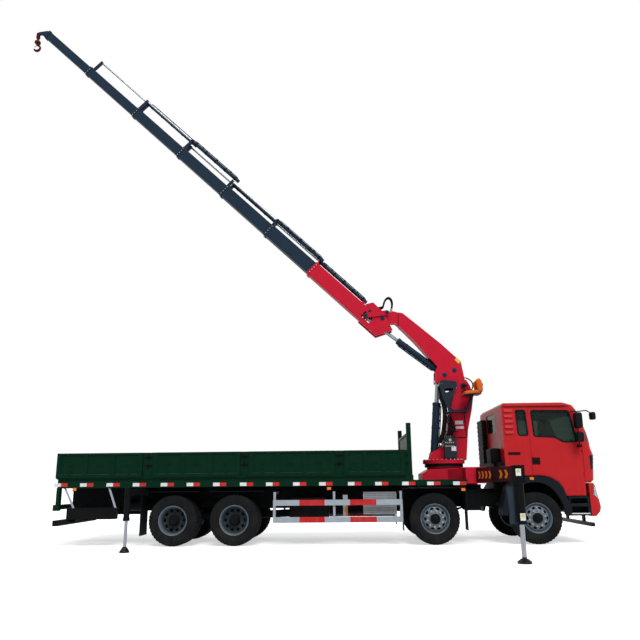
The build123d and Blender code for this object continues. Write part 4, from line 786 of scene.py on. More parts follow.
for number in range(5):
    back, inward = hoseSet["frontShift"][0] * (number % 3), hoseSet["frontShift"][1] * (number // 3)
    route = [(x - back, y + inward, z) for x, y, z in hoseSet["front"]]
    hoses[f"front-hose-{number}"] = dict(route=route + [(3.94, -0.26 + 0.015 * number, 2.2)], diameter=0.034,
                                         bodies=("column",))
hoses["seat-hose"] = dict(route=list(hoseSet["seat"]), diameter=0.03, bodies=("inner_boom", "column"),
                          start=(4.56, -0.12, 3.765), end=(4.71, -0.23, 3.6))
for name, values in hoses.items():
    buildHose(name, values)
print("hoses laid")

# Slate caps over the pins, both sides: body, x, z, |y| of the face below, radius, and whether bolts hold it
capSet = {
    "profile": ((0.0, 0.0), (0.0, 1.0), (0.007, 1.0), (0.01, 0.9), (0.0101, 0.35), (0.014, 0.3),
                (0.014, 0.0)),
    "bolt": ((0, 0), (0, 0.009), (0.008, 0.009), (0.008, 0.0)),
    "caps": (("inner_boom", 4.299, 3.948, 0.15, 0.056, True),
             ("inner_boom", 4.056, 3.835, 0.15, 0.056, True),
             ("column", 4.475, 3.56, 0.225, 0.062, True),
             ("outer_boom", 2.594, 5.282, 0.15, 0.056, False),  # the knuckle link sweeps close over this one
             ("outer_boom", 2.286, 5.485, 0.15, 0.038, True),
             ("knuckle_link", 2.708, 5.422, 0.19, 0.05, True),
             ("knuckle_link", 2.173, 5.359, 0.19, 0.056, True)),
}
for number, (body, x, z, face, radius, bolted) in enumerate(capSet["caps"]):
    parts = []
    for side in sideSigns.values():
        cap = np.array(capSet["profile"]) * (1, radius)
        parts.append(turnedPart((x, side * face, z), (0, side, 0), cap, 32))
        if bolted:
            bolts = [(x + shift * radius, side * (face + 0.008), z) for shift in (-0.6, 0.6)]
            parts.append(manyTurned(bolts, (0, side, 0), capSet["bolt"], 6))
    makePiece(f"pin-caps-{number}", parts, "boomGrey", body)

# Bolts round the slewing flange
flangeSet = {"bolts": 28, "radius": 0.462, "z": 1.81,
             "bolt": ((0.0, 0.0), (0.0, 0.019), (0.005, 0.019), (0.0051, 0.015), (0.02, 0.015), (0.02, 0.0))}
angle = np.arange(flangeSet["bolts"]) * 2 * pi / flangeSet["bolts"]
ring = np.stack([slewX + flangeSet["radius"] * np.cos(angle), flangeSet["radius"] * np.sin(angle),
                 np.full(len(angle), flangeSet["z"])], axis=1)
makePiece("flange-bolts", [manyTurned(ring, (0, 0, 1), flangeSet["bolt"], 6)], "lampSilver", "column")

# Boom: cylinders' glands, clamps and hard pipes, and chrome on the rods. Distances run along the barrel
cylinderSet = {
    "gland": ((0, 0.0482), (0, 0.057), (0.045, 0.057), (0.05, 0.052), (0.055, 0.0482)),
    "band": ((0, 0.0482), (0.0, 0.054), (0.034, 0.054), (0.034, 0.0482)),
    "fromStart": (0.06, 0.1, 0.2),
    "fromEnd": (0.3, 0.16, 0.12, 0.1),
    "pipeHeights": (0.046, 0.064, 0.066, 0.066, 0.066, 0.06, 0.046),
    "pipe": 0.0075, "pipeShifts": (-0.02, 0.02),
    "leaning": (1, 2),  # lanes whose pipes lean outwards, clear of the cylinders above
    "clamp": (0.05, 0.07, 0.022), "leaningClamp": (0.05, 0.055, 0.03),
    "sleeve": (0.0478, 0.0488), "rod": 0.02415,
}
tips = boomSet["tips"]
boomBodies = ("outer_boom", *(f"boom_section_{number}" for number in range(1, 7)))
for lane, ((y, n), length) in enumerate(zip(boomSet["lanes"], boomSet["barrels"])):
    end, body = tips[lane], boomBodies[lane]
    start = end - length
    parts = [turnedPart(boomPoint(end - 0.07, n, y), boomOut, cylinderSet["gland"], 28)]
    for u in np.linspace(start + 0.12, end - 0.22, 5):
        parts.append(turnedPart(boomPoint(u, n, y), boomOut, cylinderSet["band"], 24))
    makePiece(f"cylinder-bands-{lane + 1}", parts, "chassisBlack", body)
    pipes = []
    leans = lane in cylinderSet["leaning"]
    lean = np.sign(y) * pi / 4 if leans else 0.0
    run = [start + u for u in cylinderSet["fromStart"]] + [end - u for u in cylinderSet["fromEnd"]]
    for shift in cylinderSet["pipeShifts"]:
        line = [boomPoint(u, n + height * cos(lean) - shift * sin(lean),
                          y + height * sin(lean) + shift * cos(lean))
                for u, height in zip(run, cylinderSet["pipeHeights"])]
        pipes.append(tubePart(splinePoints(line, 4), cylinderSet["pipe"], 8))
    pipes.append(boxParts([boomPoint(u, n + 0.064 * cos(lean), y + 0.064 * sin(lean))
                           for u in np.linspace(start + 0.35, end - 0.4, 3)],
                          [cylinderSet["leaningClamp" if leans else "clamp"]], boomTurn))
    makePiece(f"cylinder-pipes-{lane + 1}", pipes, "boomGrey", body)
    if lane == 0:
        inside, outside = cylinderSet["sleeve"]
        sleeve = ((0.0, inside), (0.0, outside), (length - 0.006, outside), (length - 0.006, inside))
        makePiece("cylinder-sleeve", [turnedPart(boomPoint(start + 0.003, n, y), boomOut, sleeve, 40)],
                  "boomGrey", body)
    reach, radius = tips[lane + 1] - end, cylinderSet["rod"]
    rod = ((0.0, 0.0), (0.0, radius), (reach, radius), (reach, 0.0))
    makePiece(f"cylinder-chrome-{lane + 1}", [turnedPart(boomPoint(end - 0.03, n, y), boomOut, rod, 28)],
              "chrome", boomBodies[lane + 1])

# Wear pad bolts on both sides of the collars
collarBolt = ((0, 0), (0, 0.013), (0.011, 0.013), (0.011, 0.0))
for number, (body, face) in enumerate(zip(boomBodies, boomSet["collarFaces"])):
    parts = []
    for side in sideSigns.values():
        spots = [boomPoint(tips[number] - 0.05, n - 0.22, side * face) for n in (-0.12, -0.04, 0.04, 0.12)]
        parts.append(manyTurned(spots, (0, side, 0), collarBolt, 6))
    makePiece(f"collar-bolts-{number}", parts, "boltSteel", body)

# Hard pipes and bands on the lift and fold cylinders, along the line from foot to eye
barrelSet = (
    {"body": "lift_barrel", "foot": (3.725, 1.925), "eye": (3.9, 3.7), "radius": 0.092, "length": 1.25,
     "side": 1},
    {"body": "fold_barrel", "foot": (3.97, 3.93), "eye": (2.173, 5.359), "radius": 0.078, "length": 1.29,
     "side": -1},
)
for values in barrelSet:
    foot = np.array((values["foot"][0], 0.0, values["foot"][1]))
    axis = np.array((values["eye"][0], 0.0, values["eye"][1])) - foot
    axis /= np.linalg.norm(axis)
    outward = np.array((axis[2], 0.0, -axis[0])) * values["side"]
    radius, length = values["radius"], values["length"]
    band = ((0, radius + 0.0002), (0, radius + 0.006), (0.04, radius + 0.006), (0.04, radius + 0.0002))
    gland = ((0, radius + 0.006), (0.006, radius + 0.004), (0.012, radius - 0.012), (0.014, radius - 0.03))
    parts = [turnedPart(foot + axis * u, axis, band, 40) for u in np.linspace(0.3, length - 0.28, 3)]
    parts.append(turnedPart(foot + axis * (length - 0.002), axis, gland, 40))
    for y in (-0.03, 0.03):
        line = [foot + axis * u + outward * (radius + n) + (0, y, 0) for u, n in
                ((0.16, -0.01), (0.18, 0.016), (0.26, 0.018), (length - 0.3, 0.018), (length - 0.12, 0.018),
                 (length - 0.08, 0.014), (length - 0.06, -0.006))]
        parts.append(tubePart(splinePoints(line, 4), 0.009, 8))
    turn = np.stack([axis, (0.0, 1.0, 0.0), outward], axis=1)
    parts.append(boxParts([foot + axis * u + outward * (radius + 0.012) for u in (0.42, length - 0.42)],
                          [(0.05, 0.1, 0.03)], turn))
    makePiece(f"{values['body']}-fittings", parts, "boomGrey", values["body"], bevel=0.001)
print("boom's cylinders dressed")

# Valve chest on the mast: spools, levers with knobs, silver fittings and a blank plate
valveSet = {
    "pitch": 0.045,
    "lever": ((0, 0.0), (0.0, 0.012), (0.03, 0.012), (0.031, 0.005), (0.13, 0.005), (0.131, 0.009),
              (0.137, 0.015), (0.148, 0.018), (0.159, 0.015), (0.165, 0.007), (0.166, 0.0)),
    "fitting": ((0, 0.0), (0, 0.016), (0.012, 0.016), (0.0121, 0.011), (0.022, 0.01), (0.022, 0.0)),
    "gauge": ((0, 0.0), (0, 0.036), (0.02, 0.036), (0.024, 0.032), (0.018, 0.03), (0.016, 0.0)),
    "label": ((4.367, 4.255), (4.476, 4.168), (4.409, 4.108), (4.322, 4.205)),
}
levers = [(3.96 + valveSet["pitch"] * number, -0.34, 2.318) for number in range(6)]
makePiece("valve-levers", [manyTurned(levers, (0.1, -0.25, 1.0), valveSet["lever"], 10)], "chassisBlack",
          "column")
spools = [(3.96 + valveSet["pitch"] * number, -0.3801, z) for number in range(5) for z in (2.12, 2.2)]
gauge = turnedPart((4.06, -0.3801, 2.26), (0, -1, 0), valveSet["gauge"], 32)
makePiece("valve-fittings", [manyTurned(spools, (0, -1, 0), valveSet["fitting"], 6), gauge], "boltSteel",
          "column")
makePiece("valve-plates", [boxParts([(4.14, -0.3815, 2.06)], [(0.11, 0.003, 0.1)]),
                           boxParts([(4.3245, -0.2065, 2.6775), (4.338, -0.2065, 2.56)],
                                    [(0.187, 0.003, 0.085), (0.187, 0.003, 0.06)])],
          "stripeWhite", "column", bevel=0.001)
makePiece("boom-plate", [platePart(valveSet["label"], 1, -0.1535, -0.1501)], "labelYellow", "inner_boom")


# Chevrons pointing outward on both faces of a beam: two slanted bands each, drawn as rows of four points
def chevrons(middle, side, values):
    low, high = values["heights"]
    parts = []
    for x in (middle - values["face"], middle + values["face"]):
        for y in side * np.array(values["centres"]):
            rows = np.zeros((3, 4, 3))
            back, tip = y - side * values["reach"], y + side * values["reach"]
            line = np.array(((back, low), (tip, (low + high) / 2), (back, high)))
            rows[..., 0] = x + np.array((-1, 1, 1, -1)) * values["thick"] / 2
            rows[..., 1] = line[:, :1] + np.array((-1, -1, 1, 1)) * values["width"] / 2
            rows[..., 2] = line[:, 1:]
            parts.append(barPart(rows))
    return parts


# Front beams: chevrons, a black band round the mouth, and blank warning plates with a yellow field
beamSet = {
    "middles": {"right": 4.571, "left": 4.361},
    "beam": {"face": 0.0925, "centres": np.linspace(1.46, 2.5, 4), "reach": 0.055, "width": 0.16,
             "thick": 0.002, "heights": (1.375, 1.525)},
    "leg": {"face": 0.0725, "centres": (3.36, 3.78), "reach": 0.06, "width": 0.17, "thick": 0.002,
            "heights": (1.375, 1.525)},
    "plates": ((-0.03, 4.4792, 1.472), (-0.012, 4.4792, 0.742)),
}
for sideName, side in sideSigns.items():
    middle, leg = beamSet["middles"][sideName], f"front_leg_{sideName}"
    makePiece(f"chevrons-beam-{sideName}", chevrons(middle, side, beamSet["beam"]), "signOrange",
              f"front_beam_{sideName}")
    makePiece(f"chevrons-leg-{sideName}", chevrons(middle, side, beamSet["leg"]), "signOrange", leg)
    makePiece(f"beam-bands-{sideName}", [boxParts([(middle, side * 2.96, 1.45)], [(0.1462, 0.3, 0.2622)])],
              "chassisBlack", leg, bevel=0.001)
    spots = np.array(beamSet["plates"]) * (1, side, 1) + (middle, 0, 0)
    makePiece(f"leg-plates-{sideName}", [boxParts(spots, [(0.088, 0.0024, 0.118)])], "stripeWhite", leg,
              bevel=0.0005)
    fields = spots + (0, side * 0.0014, 0.018)
    makePiece(f"leg-fields-{sideName}", [boxParts(fields, [(0.056, 0.002, 0.05)])], "labelYellow", leg,
              bevel=0.0005)

# Red and white reflective pairs along the bed's rave: start, middle and end of each
raveSet = {
    "face": 1.2408, "thick": 0.0016, "height": 0.074, "gap": 0.002, "heights": (1.3225, 1.282),
    "pairs": ((-4.886, -4.735, -4.584), (-4.304, -4.154, -4.004), (-3.708, -3.559, -3.409),
              (-3.117, -2.968, -2.818), (-2.491, -2.343, -2.194), (-1.911, -1.762, -1.614),
              (-1.323, -1.175, -1.027), (-0.728, -0.58, -0.433), (-0.15, -0.003, 0.144),
              (0.448, 0.594, 0.74),
              (1.022, 1.168, 1.313), (1.653, 1.798, 1.944), (2.247, 2.392, 2.537), (2.835, 2.979, 3.123),
              (3.379, 3.523, 3.667), (3.942, 4.085, 4.229)),
}
pairs = np.array(raveSet["pairs"])
heights = np.linspace(*raveSet["heights"], len(pairs))
for half, material in enumerate(("stripeWhite", "stripeRed")):
    start, end = pairs[:, half], pairs[:, half + 1]
    centres = bothSides(np.stack([(start + end) / 2, np.full(len(pairs), raveSet["face"]), heights], axis=1))
    sizes = np.stack([end - start - raveSet["gap"], np.full(len(pairs), raveSet["thick"]),
                      np.full(len(pairs), raveSet["height"])], axis=1)
    makePiece(f"rave-{material}", [boxParts(centres, np.tile(sizes, (2, 1)))], material, "lorry")

# Orange side markers: x, y and z; those under the rave hang on small plates
markers = np.array(((4.1535, 1.242, 1.149), (1.237, 1.242, 1.196), (-4.42, 1.242, 1.225),
                    (5.6425, 1.2405, 1.367)))
makePiece("side-markers", [boxParts(bothSides(markers), [(0.086, 0.012, 0.058)])], "signOrange", "lorry",
          bevel=0.004)
makePiece("marker-plates", [boxParts(bothSides([(x, 1.232, z + 0.02) for x, y, z in markers[:3]]),
                                     [(0.1, 0.006, 0.12)])], "chassisBlack", "lorry", bevel=0.001)

# Latches at the posts and hinge straps of the dropsides, panel by panel
dropsideSet = {
    "posts": (-2.79, -0.6315, 1.47, 2.913),
    "panels": ((-4.848, -2.915), (-2.662, -0.732), (-0.531, 1.354), (1.586, 2.912)),
    "strapBolt": ((0, 0), (0, 0.01), (0.008, 0.009), (0.008, 0)),
    "fields": 3, "margin": 0.045,  # sunken fields of each panel, and the rim before the first
}
for sideName, side in sideSigns.items():
    handles = np.array([(x, side * 1.246, z) for x in dropsideSet["posts"] for z in (1.72, 1.9)])
    makePiece(f"post-latches-{sideName}", [
        boxParts(handles, [(0.16, 0.012, 0.035)]),
        boxParts(handles + (0, side * 0.012, 0.0), [(0.03, 0.02, 0.1)])], "chassisBlack", "lorry",
        bevel=0.003)
    straps = np.array([(x, side * 1.2985, 1.545) for start, end in dropsideSet["panels"]
                       for x in (start + 0.3, end - 0.3)])
    makePiece(f"hinge-straps-{sideName}", [
        boxParts(straps, [(0.07, 0.004, 0.13)]),
        manyTurned(straps + (0, 0, 0.03), (0, side, 0), dropsideSet["strapBolt"], 6)], "bedGreen",
        f"dropside_{sideName}", bevel=0.001)

# Boards of the bed's floor, each a long thin box with a gap beside it
makePiece("floor-boards", [boxParts([(-0.94, y, 1.4722) for y in np.linspace(-1.06, 1.06, 9)],
                                    [(7.72, 0.258, 0.0036)])], "plank", "lorry", bevel=0.001)
print("bed dressed")


# Leaf springs: each leaf a shallow arc, height + camber * (x / half length)^2, the lower ones shorter
def leafPack(x, y, values):
    half, thick, leaves = values["length"] / 2, values["thick"], values["leaves"]
    parts = []
    for leaf in range(leaves):
        reach = half * (1 - 0.78 * leaf / leaves)
        along = np.linspace(-reach, reach, 15)
        arc = values["height"] + values["camber"] * (along / half) ** 2 - leaf * thick * 1.04
        rows = np.zeros((15, 4, 3))
        rows[..., 0] = x + along[:, None]
        rows[..., 1] = y + np.array((-1, 1, 1, -1)) * values["width"] / 2
        rows[..., 2] = arc[:, None] + np.array((0, 0, 1, 1)) * thick
        parts.append(barPart(rows))
    return parts


chassisSet = {
    "frontSpring": dict(height=0.66, length=1.7, camber=0.12, leaves=5, thick=0.014, width=0.08),
    "rearSpring": dict(height=0.66, length=1.3, camber=-0.13, leaves=8, thick=0.018, width=0.09),
    "airTank": ((0, 0.0), (0.004, 0.06), (0.03, 0.11), (0.06, 0.125), (0.64, 0.125), (0.67, 0.11),
                (0.696, 0.06), (0.7, 0.0)),
    "airTankPlaces": ((2.4, 0.62, 0.86), (-3.4, -0.62, 0.86), (-3.4, 0.62, 0.86), (3.9, 0.62, 0.86)),
    "brakePot": ((0, 0.0), (0, 0.04), (0.03, 0.075), (0.05, 0.088), (0.056, 0.088), (0.06, 0.08),
                 (0.14, 0.078), (0.16, 0.05), (0.165, 0.0)),
    "shaft": ((0, 0), (0, 0.055), (3.98, 0.055), (3.98, 0)),
    "dimple": ((0, 0), (0, 0.0075), (0.0012, 0.0068), (0.0012, 0)),
}
springs = []
for side in sideSigns.values():
    for x in (axleX[1], axleX[2]):
        springs += leafPack(x, side * 0.42, chassisSet["frontSpring"])
    springs += leafPack(-1.52, side * 0.53, chassisSet["rearSpring"])
makePiece("leaf-springs", springs, "chassisBlack", "lorry", bevel=0.001)
makePiece("air-tanks", [turnedPart(place, (1, 0, 0), chassisSet["airTank"], 28)
                        for place in chassisSet["airTankPlaces"]], "chassisBlack", "lorry")
brakePots = [turnedPart((axleX[axle] + 0.16, side * 0.52, 0.66), (0.15, 0, 1), chassisSet["brakePot"], 24)
             for axle in axleX for side in sideSigns.values()]
shaft = turnedPart((3.2, 0, 0.72), (-4.0, 0, -0.16), chassisSet["shaft"], 24)
makePiece("brake-chambers", [*brakePots, shaft], "chassisBlack", "lorry")

# Dimples of the perforated plate beside the tanks
spotX, spotZ = np.meshgrid(np.linspace(2.03, 2.67, 26), np.linspace(0.68, 1.07, 12))
dimples = np.stack([spotX.ravel(), np.full(spotX.size, -1.0852), spotZ.ravel()], axis=1)
makePiece("plate-dimples", [manyTurned(dimples, (0, -1, 0), chassisSet["dimple"], 6)], "chassisBlack",
          "lorry")

# Tail lamps on their board: red, orange and clear round lenses with rims, and the blank plate
tailSet = {
    "lens": ((0.0, 0.0), (0.0, 0.038), (0.008, 0.038), (0.014, 0.03), (0.017, 0.016), (0.018, 0.0)),
    "rim": ((0.0, 0.0), (0.0, 0.045), (0.007, 0.045), (0.0071, 0.0385), (0.0, 0.038)),
    "places": {"lampRed": (0.98, 0.78), "signOrange": (1.08,), "lampSilver": (0.88,)},
}
for material, places in tailSet["places"].items():
    spots = bothSides([(-4.8802, y, 0.839) for y in places])
    makePiece(f"tail-{material}", [manyTurned(spots, (-1, 0, 0), tailSet["lens"], 28)], material, "lorry")
spots = bothSides([(-4.8801, y, 0.839) for y in (0.78, 0.88, 0.98, 1.08)])
makePiece("tail-rims", [manyTurned(spots, (-1, 0, 0), tailSet["rim"], 28)], "chassisBlack", "lorry")
makePiece("rear-plate", [boxParts([(-4.8815, 0.0, 0.839)], [(0.003, 0.46, 0.1)])], "stripeWhite", "lorry")
print("chassis dressed")

# Painted highlight: lighter green strips where the tops of the dropsides' sloped ledges catch the light, one
# strip to each sunken field
steps = [(low + dropsideSet["margin"], (high - low - 2 * dropsideSet["margin"]) / dropsideSet["fields"])
         for low, high in dropsideSet["panels"]]
for sideName, side in sideSigns.items():
    edges = [(low + number * step + step / 2, side * 1.2962, 1.5445) for low, step in steps
             for number in range(dropsideSet["fields"])]
    sizes = [(step - 0.1, 0.0036, 0.008) for low, step in steps for number in range(dropsideSet["fields"])]
    makePiece(f"ledge-highlights-{sideName}", [boxParts(edges, sizes)], "ledgeHighlightGreen", f"dropside_{sideName}",
              bevel=0.001)

# Hard pipe down the mast to the valves, with its clips
mastPipe = {
    "line": ((4.42, -0.2145, 2.93), (4.455, -0.2145, 2.9), (4.466, -0.2145, 2.84), (4.473, -0.2145, 2.665),
             (4.484, -0.2145, 2.37), (4.47, -0.2145, 2.33), (4.42, -0.2145, 2.324), (4.2, -0.2145, 2.326),
             (4.16, -0.2145, 2.33), (4.14, -0.23, 2.312)),
    "clips": ((4.466, -0.211, 2.8), (4.478, -0.211, 2.52), (4.35, -0.211, 2.325)),
}
makePiece("mast-pipe", [tubePart(splinePoints(mastPipe["line"], 4), 0.009, 10),
                        boxParts(mastPipe["clips"], [(0.034, 0.022, 0.024)])], "hoseRubber", "column")

# Rubber seal along the slot between the floor and the dropsides
makePiece("floor-seals", [boxParts(bothSides((-0.965, 1.2427, 1.4655)), [(7.72, 0.0044, 0.012)])], "rubber",
          "lorry")

# Hook: an arc of even radius whose bar swells at the saddle and thins to the tip, below a turned swivel.
# bar(t) = 0.028 + 0.012 * max(0, -sin(angle))^1.5 - 0.012 * t^4 along the arc, t from 0 to 1
hookSet = {
    "pin": (12.976, -0.395),  # in the boom's own frame
    "arc": (95, -165), "steps": 34, "radius": 0.088, "drop": 0.452,
    "shank": ((0, 0, -0.3), (0, 0, -0.335), (0.002, 0, -0.358)), "shankBar": (0.03, 0.028, 0.027),
    "swivel": ((0, 0.0), (0, 0.04), (0.012, 0.062), (0.03, 0.082), (0.06, 0.086), (0.088, 0.08),
               (0.105, 0.055), (0.125, 0.036), (0.215, 0.034), (0.215, 0.0)),
    "pinProfile": ((0, 0.0), (0.0, 0.024), (0.012, 0.024), (0.0121, 0.0135), (0.109, 0.0135),
                   (0.1091, 0.024), (0.121, 0.024), (0.121, 0.0)),
    "cheek": ((-0.034, 0.028), (0.034, 0.028), (0.045, -0.12), (-0.045, -0.12)),
    "latch": ((-0.03, -0.372), (-0.014, -0.372), (-0.078, -0.43), (-0.088, -0.42)),
}
pin = boomPoint(*hookSet["pin"])
angle = np.radians(np.linspace(*hookSet["arc"], hookSet["steps"]))
share = np.linspace(0, 1, hookSet["steps"])
bar = 0.028 + 0.012 * np.clip(np.cos(angle + pi / 2), 0, 1) ** 1.5 - 0.012 * share**4
arc = pin + np.stack([hookSet["radius"] * np.cos(angle), np.zeros(len(angle)),
                      hookSet["radius"] * np.sin(angle) - hookSet["drop"]], axis=1)
cheek = roundedOutline(np.array(hookSet["cheek"]) + pin[[0, 2]], 0.03)
latch = roundedOutline(np.array(hookSet["latch"]) + pin[[0, 2]], 0.006)
makePiece("hook-forging", [
    tubePart(np.concatenate([pin + np.array(hookSet["shank"]), arc]),
             np.concatenate([hookSet["shankBar"], bar]), 16),
    turnedPart(pin + (0, 0, -0.325), (0, 0, 1), hookSet["swivel"], 32),
    turnedPart(pin + (0, -0.0605, 0), (0, 1, 0), hookSet["pinProfile"], 24),
    *(platePart(cheek, 1, side * 0.027, side * 0.039) for side in sideSigns.values()),
    boxParts([pin + (0, 0, -0.122)], [(0.088, 0.078, 0.03)])], "hookMaroon", "hook", replaced=("hook",),
    bevel=0.002)
makePiece("hook-latch", [platePart(latch, 1, -0.011, 0.011)], "boltSteel", "hook")


# A closed cushion: rounded block, crowned on top and sides, with sewn channels across it
# r = (|x|^p + |y|^p + |z|^p)^(-1/p) over the sphere gives the block; the crown adds
# (1 - x^4)(1 - y^4) on top
def cushionPart(size, crown=0.0, channels=(), depth=0.006, power=5.0, rows=40, columns=64):
    size = np.asarray(size, float) / 2
    up = np.linspace(-pi / 2, pi / 2, rows)[:, None]
    turn = (np.arange(columns) * 2 * pi / columns)[None]
    way = np.broadcast_arrays(np.cos(up) * np.cos(turn), np.cos(up) * np.sin(turn), np.sin(up))
    way = np.stack(way, axis=-1)
    way = way / (np.abs(way) ** power).sum(axis=-1, keepdims=True) ** (1 / power)
    swell = (1 - way[..., 0] ** 4) * (1 - way[..., 1] ** 4) * np.clip(way[..., 2], 0, 1)
    pull = np.zeros(way.shape[:2])
    for place in channels:
        pull = pull + np.exp(-((way[..., 0] - place) / 0.045) ** 2)
    points = way * size
    points[..., 2] += crown * swell - depth * pull * np.sign(way[..., 2])
    points[..., 1] *= 1 - 0.03 * pull
    piping = np.exp(-((way[..., 2] - 0.55) / 0.05) ** 2) * 0.004
    points[..., :2] *= 1 + piping[..., None]
    return points.reshape(-1, 3), gridFaces(rows, columns, closeColumns=True)


# A part leaned about y by an angle in degrees, then set at its place
def placedPart(part, place, lean=0.0):
    c, s = cos(radians(lean)), sin(radians(lean))
    return part[0] @ np.array(((c, 0, -s), (0, 1, 0), (s, 0, c))) + place, part[1]


# Operator's seat on the mast: a slate pan with arms and a footrest, and its levers
seatY = -0.53
seatSet = {
    "arms": ((((4.62, -0.268, 3.30), (4.62, -0.34, 3.30), (4.62, -0.5, 3.288), (4.62, -0.7, 3.288)), 0.02),
             (((4.76, seatY, 3.29), (4.81, seatY, 3.31), (4.845, seatY, 3.38), (4.872, seatY, 3.56)), 0.016),
             (((4.63, -0.54, 3.285), (4.56, -0.54, 3.1), (4.46, -0.54, 2.902)), 0.018)),
    "lever": ((0, 0.0), (0, 0.01), (0.02, 0.01), (0.021, 0.005), (0.14, 0.005), (0.141, 0.012),
              (0.16, 0.014), (0.175, 0.008), (0.176, 0.0)),
}
makePiece("operator-pan", [
    boxParts([(4.6, seatY, 3.289)], [(0.36, 0.3, 0.014)]),
    *(tubePart(path, radius, 10) for path, radius in seatSet["arms"]),
    boxParts([(4.25, -0.49, 2.895)], [(0.45, 0.41, 0.016)]),
    boxParts([(x, -0.49, 2.905) for x in np.linspace(4.06, 4.44, 9)], [(0.012, 0.4, 0.006)])],
    "boomGrey", "column", replaced=("operator_seat",), bevel=0.002)


# Padded pieces: each a shape at one place or more, leaned; its size, crown and sewn channels
def buildCushion(name, values, material, body):
    part = cushionPart(**values["shape"])
    parts = [placedPart(part, place, values["lean"]) for place in values["places"]]
    cushion = makePiece(name, parts, material, body, smoothAngle=80.0)


operatorCushions = {
    "operator-cushion": dict(shape=dict(size=(0.4, 0.4, 0.075), crown=0.02, channels=(-0.35, 0.3)),
                             places=[(4.6, seatY, 3.334)], lean=-4.0),
    "operator-back": dict(shape=dict(size=(0.33, 0.4, 0.075), crown=0.018, channels=(-0.3, 0.35)),
                          places=[(4.79, seatY, 3.5)], lean=-98.0),
    "operator-bolsters": dict(shape=dict(size=(0.3, 0.06, 0.13), power=3.5, rows=24, columns=36),
                              places=[(4.765, seatY + side * 0.185, 3.49) for side in sideSigns.values()],
                              lean=-98.0, fill=0.9),
}
for name, values in operatorCushions.items():
    buildCushion(name, values, "seatOrange", "column")
levers = [(4.47 + 0.03 * number, -0.29, 3.4) for number in range(5)]
makePiece("operator-levers", [manyTurned(levers, (-0.2, 0.0, 1.0), seatSet["lever"], 10),
                              boxParts([(4.53, -0.285, 3.385)], [(0.2, 0.06, 0.04)])],
          "chassisBlack", "column", bevel=0.002)
print("hook and operator's seat built")

# Cab inside: floor, moulded dash with a hood over the dials, wheel, lever, tunnel and seat boxes
cabSet = {
    "dash": ((6.50, 1.72), (6.86, 1.72), (6.86, 1.965), (6.78, 1.978), (6.66, 1.97), (6.575, 1.93),
             (6.52, 1.86), (6.5, 1.8)),
    "hood": ((6.44, 1.86), (6.5, 1.98), (6.66, 1.985), (6.66, 1.9)),
    "lever": ((6.12, 0.16, 1.64), (6.14, 0.17, 1.78), (6.15, 0.175, 1.86)),
    "knob": ((0, 0), (0, 0.018), (0.03, 0.027), (0.05, 0.02), (0.055, 0)),
    "steeringColumn": ((0, 0), (0, 0.035), (0.16, 0.03), (0.2, 0.05), (0.21, 0)),
    "wheelCentre": (6.335, 0.6, 1.945), "wheelRadius": 0.21, "wheelLean": 58, "spokes": (10, 24, 38),
}
angle = np.arange(48) * 2 * pi / 48
wheelTurn = np.array((cos(radians(cabSet["wheelLean"])), 0, sin(radians(cabSet["wheelLean"]))))
wheelRing = np.array(cabSet["wheelCentre"]) + cabSet["wheelRadius"] * (
    np.cos(angle)[:, None] * wheelTurn + np.sin(angle)[:, None] * np.array((0, 1.0, 0)))
makePiece("cab-inside", [
    boxParts([(5.69, 0, 1.493)], [(1.08, 2.2, 0.034)]),
    platePart(roundedOutline(cabSet["dash"], 0.03), 1, -1.12, 1.12),
    platePart(roundedOutline(cabSet["hood"], 0.03), 1, 0.34, 0.86),
    boxParts([(6.1, 0.05, 1.58)], [(0.5, 0.36, 0.16)]),
    boxParts([(5.7, y, 1.6) for y in (-0.6, 0.6)], [(0.44, 0.42, 0.2)]),
    tubePart(cabSet["lever"], 0.012, 10),
    turnedPart((6.15, 0.175, 1.85), (0.05, 0.02, 1), cabSet["knob"], 16),
    turnedPart((6.49, 0.6, 1.84), (-0.5, 0, 0.32), cabSet["steeringColumn"], 20),
    tubePart(np.concatenate([wheelRing, wheelRing[:1]]), 0.014, 10),
    *(tubePart([(6.32, 0.6, 1.935), tuple(wheelRing[place])], 0.012, 8) for place in cabSet["spokes"])],
    "plastic", "lorry", replaced=("cab_interior",), bevel=0.004)
cabCushions = {
    "cushion": dict(shape=dict(size=(0.48, 0.5, 0.13), crown=0.03, channels=(-0.2, 0.35)), x=5.72, z=1.76,
                    lean=-5.0),
    "back": dict(shape=dict(size=(0.62, 0.48, 0.12), crown=0.03, channels=(-0.3, 0.1, 0.5)), x=5.475, z=2.12,
                 lean=-102.0),
    "headrest": dict(shape=dict(size=(0.16, 0.28, 0.09), crown=0.015), x=5.405, z=2.51, lean=-102.0),
}
for number, y in enumerate((-0.6, 0.6)):
    for name, values in cabCushions.items():
        values["places"] = [(values["x"], y, values["z"])]
        buildCushion(f"cab-{name}-{number}", values, "seatCloth", "lorry")


# A closed frame round a window: the outline grown and shrunk, through a small thickness
def framePart(outline, inner, outer, axis, low, high):
    outline = np.asarray(outline, float)
    run = np.roll(outline, -1, axis=0) - np.roll(outline, 1, axis=0)
    run /= np.linalg.norm(run, axis=1, keepdims=True)
    ahead = np.roll(outline, -1, axis=0)
    area = 0.5 * np.sum(outline[:, 0] * ahead[:, 1] - ahead[:, 0] * outline[:, 1])
    square = np.stack([run[:, 1], -run[:, 0]], axis=1) * np.sign(area)
    others = [place for place in range(3) if place != axis]
    points = np.zeros((len(outline), 4, 3))
    for column, (reach, depth) in enumerate(((-inner, low), (-inner, high), (outer, high), (outer, low))):
        points[:, column, others] = outline + reach * square
        points[:, column, axis] = depth
    return points.reshape(-1, 3), gridFaces(len(outline), 4, closeRows=True, closeColumns=True)


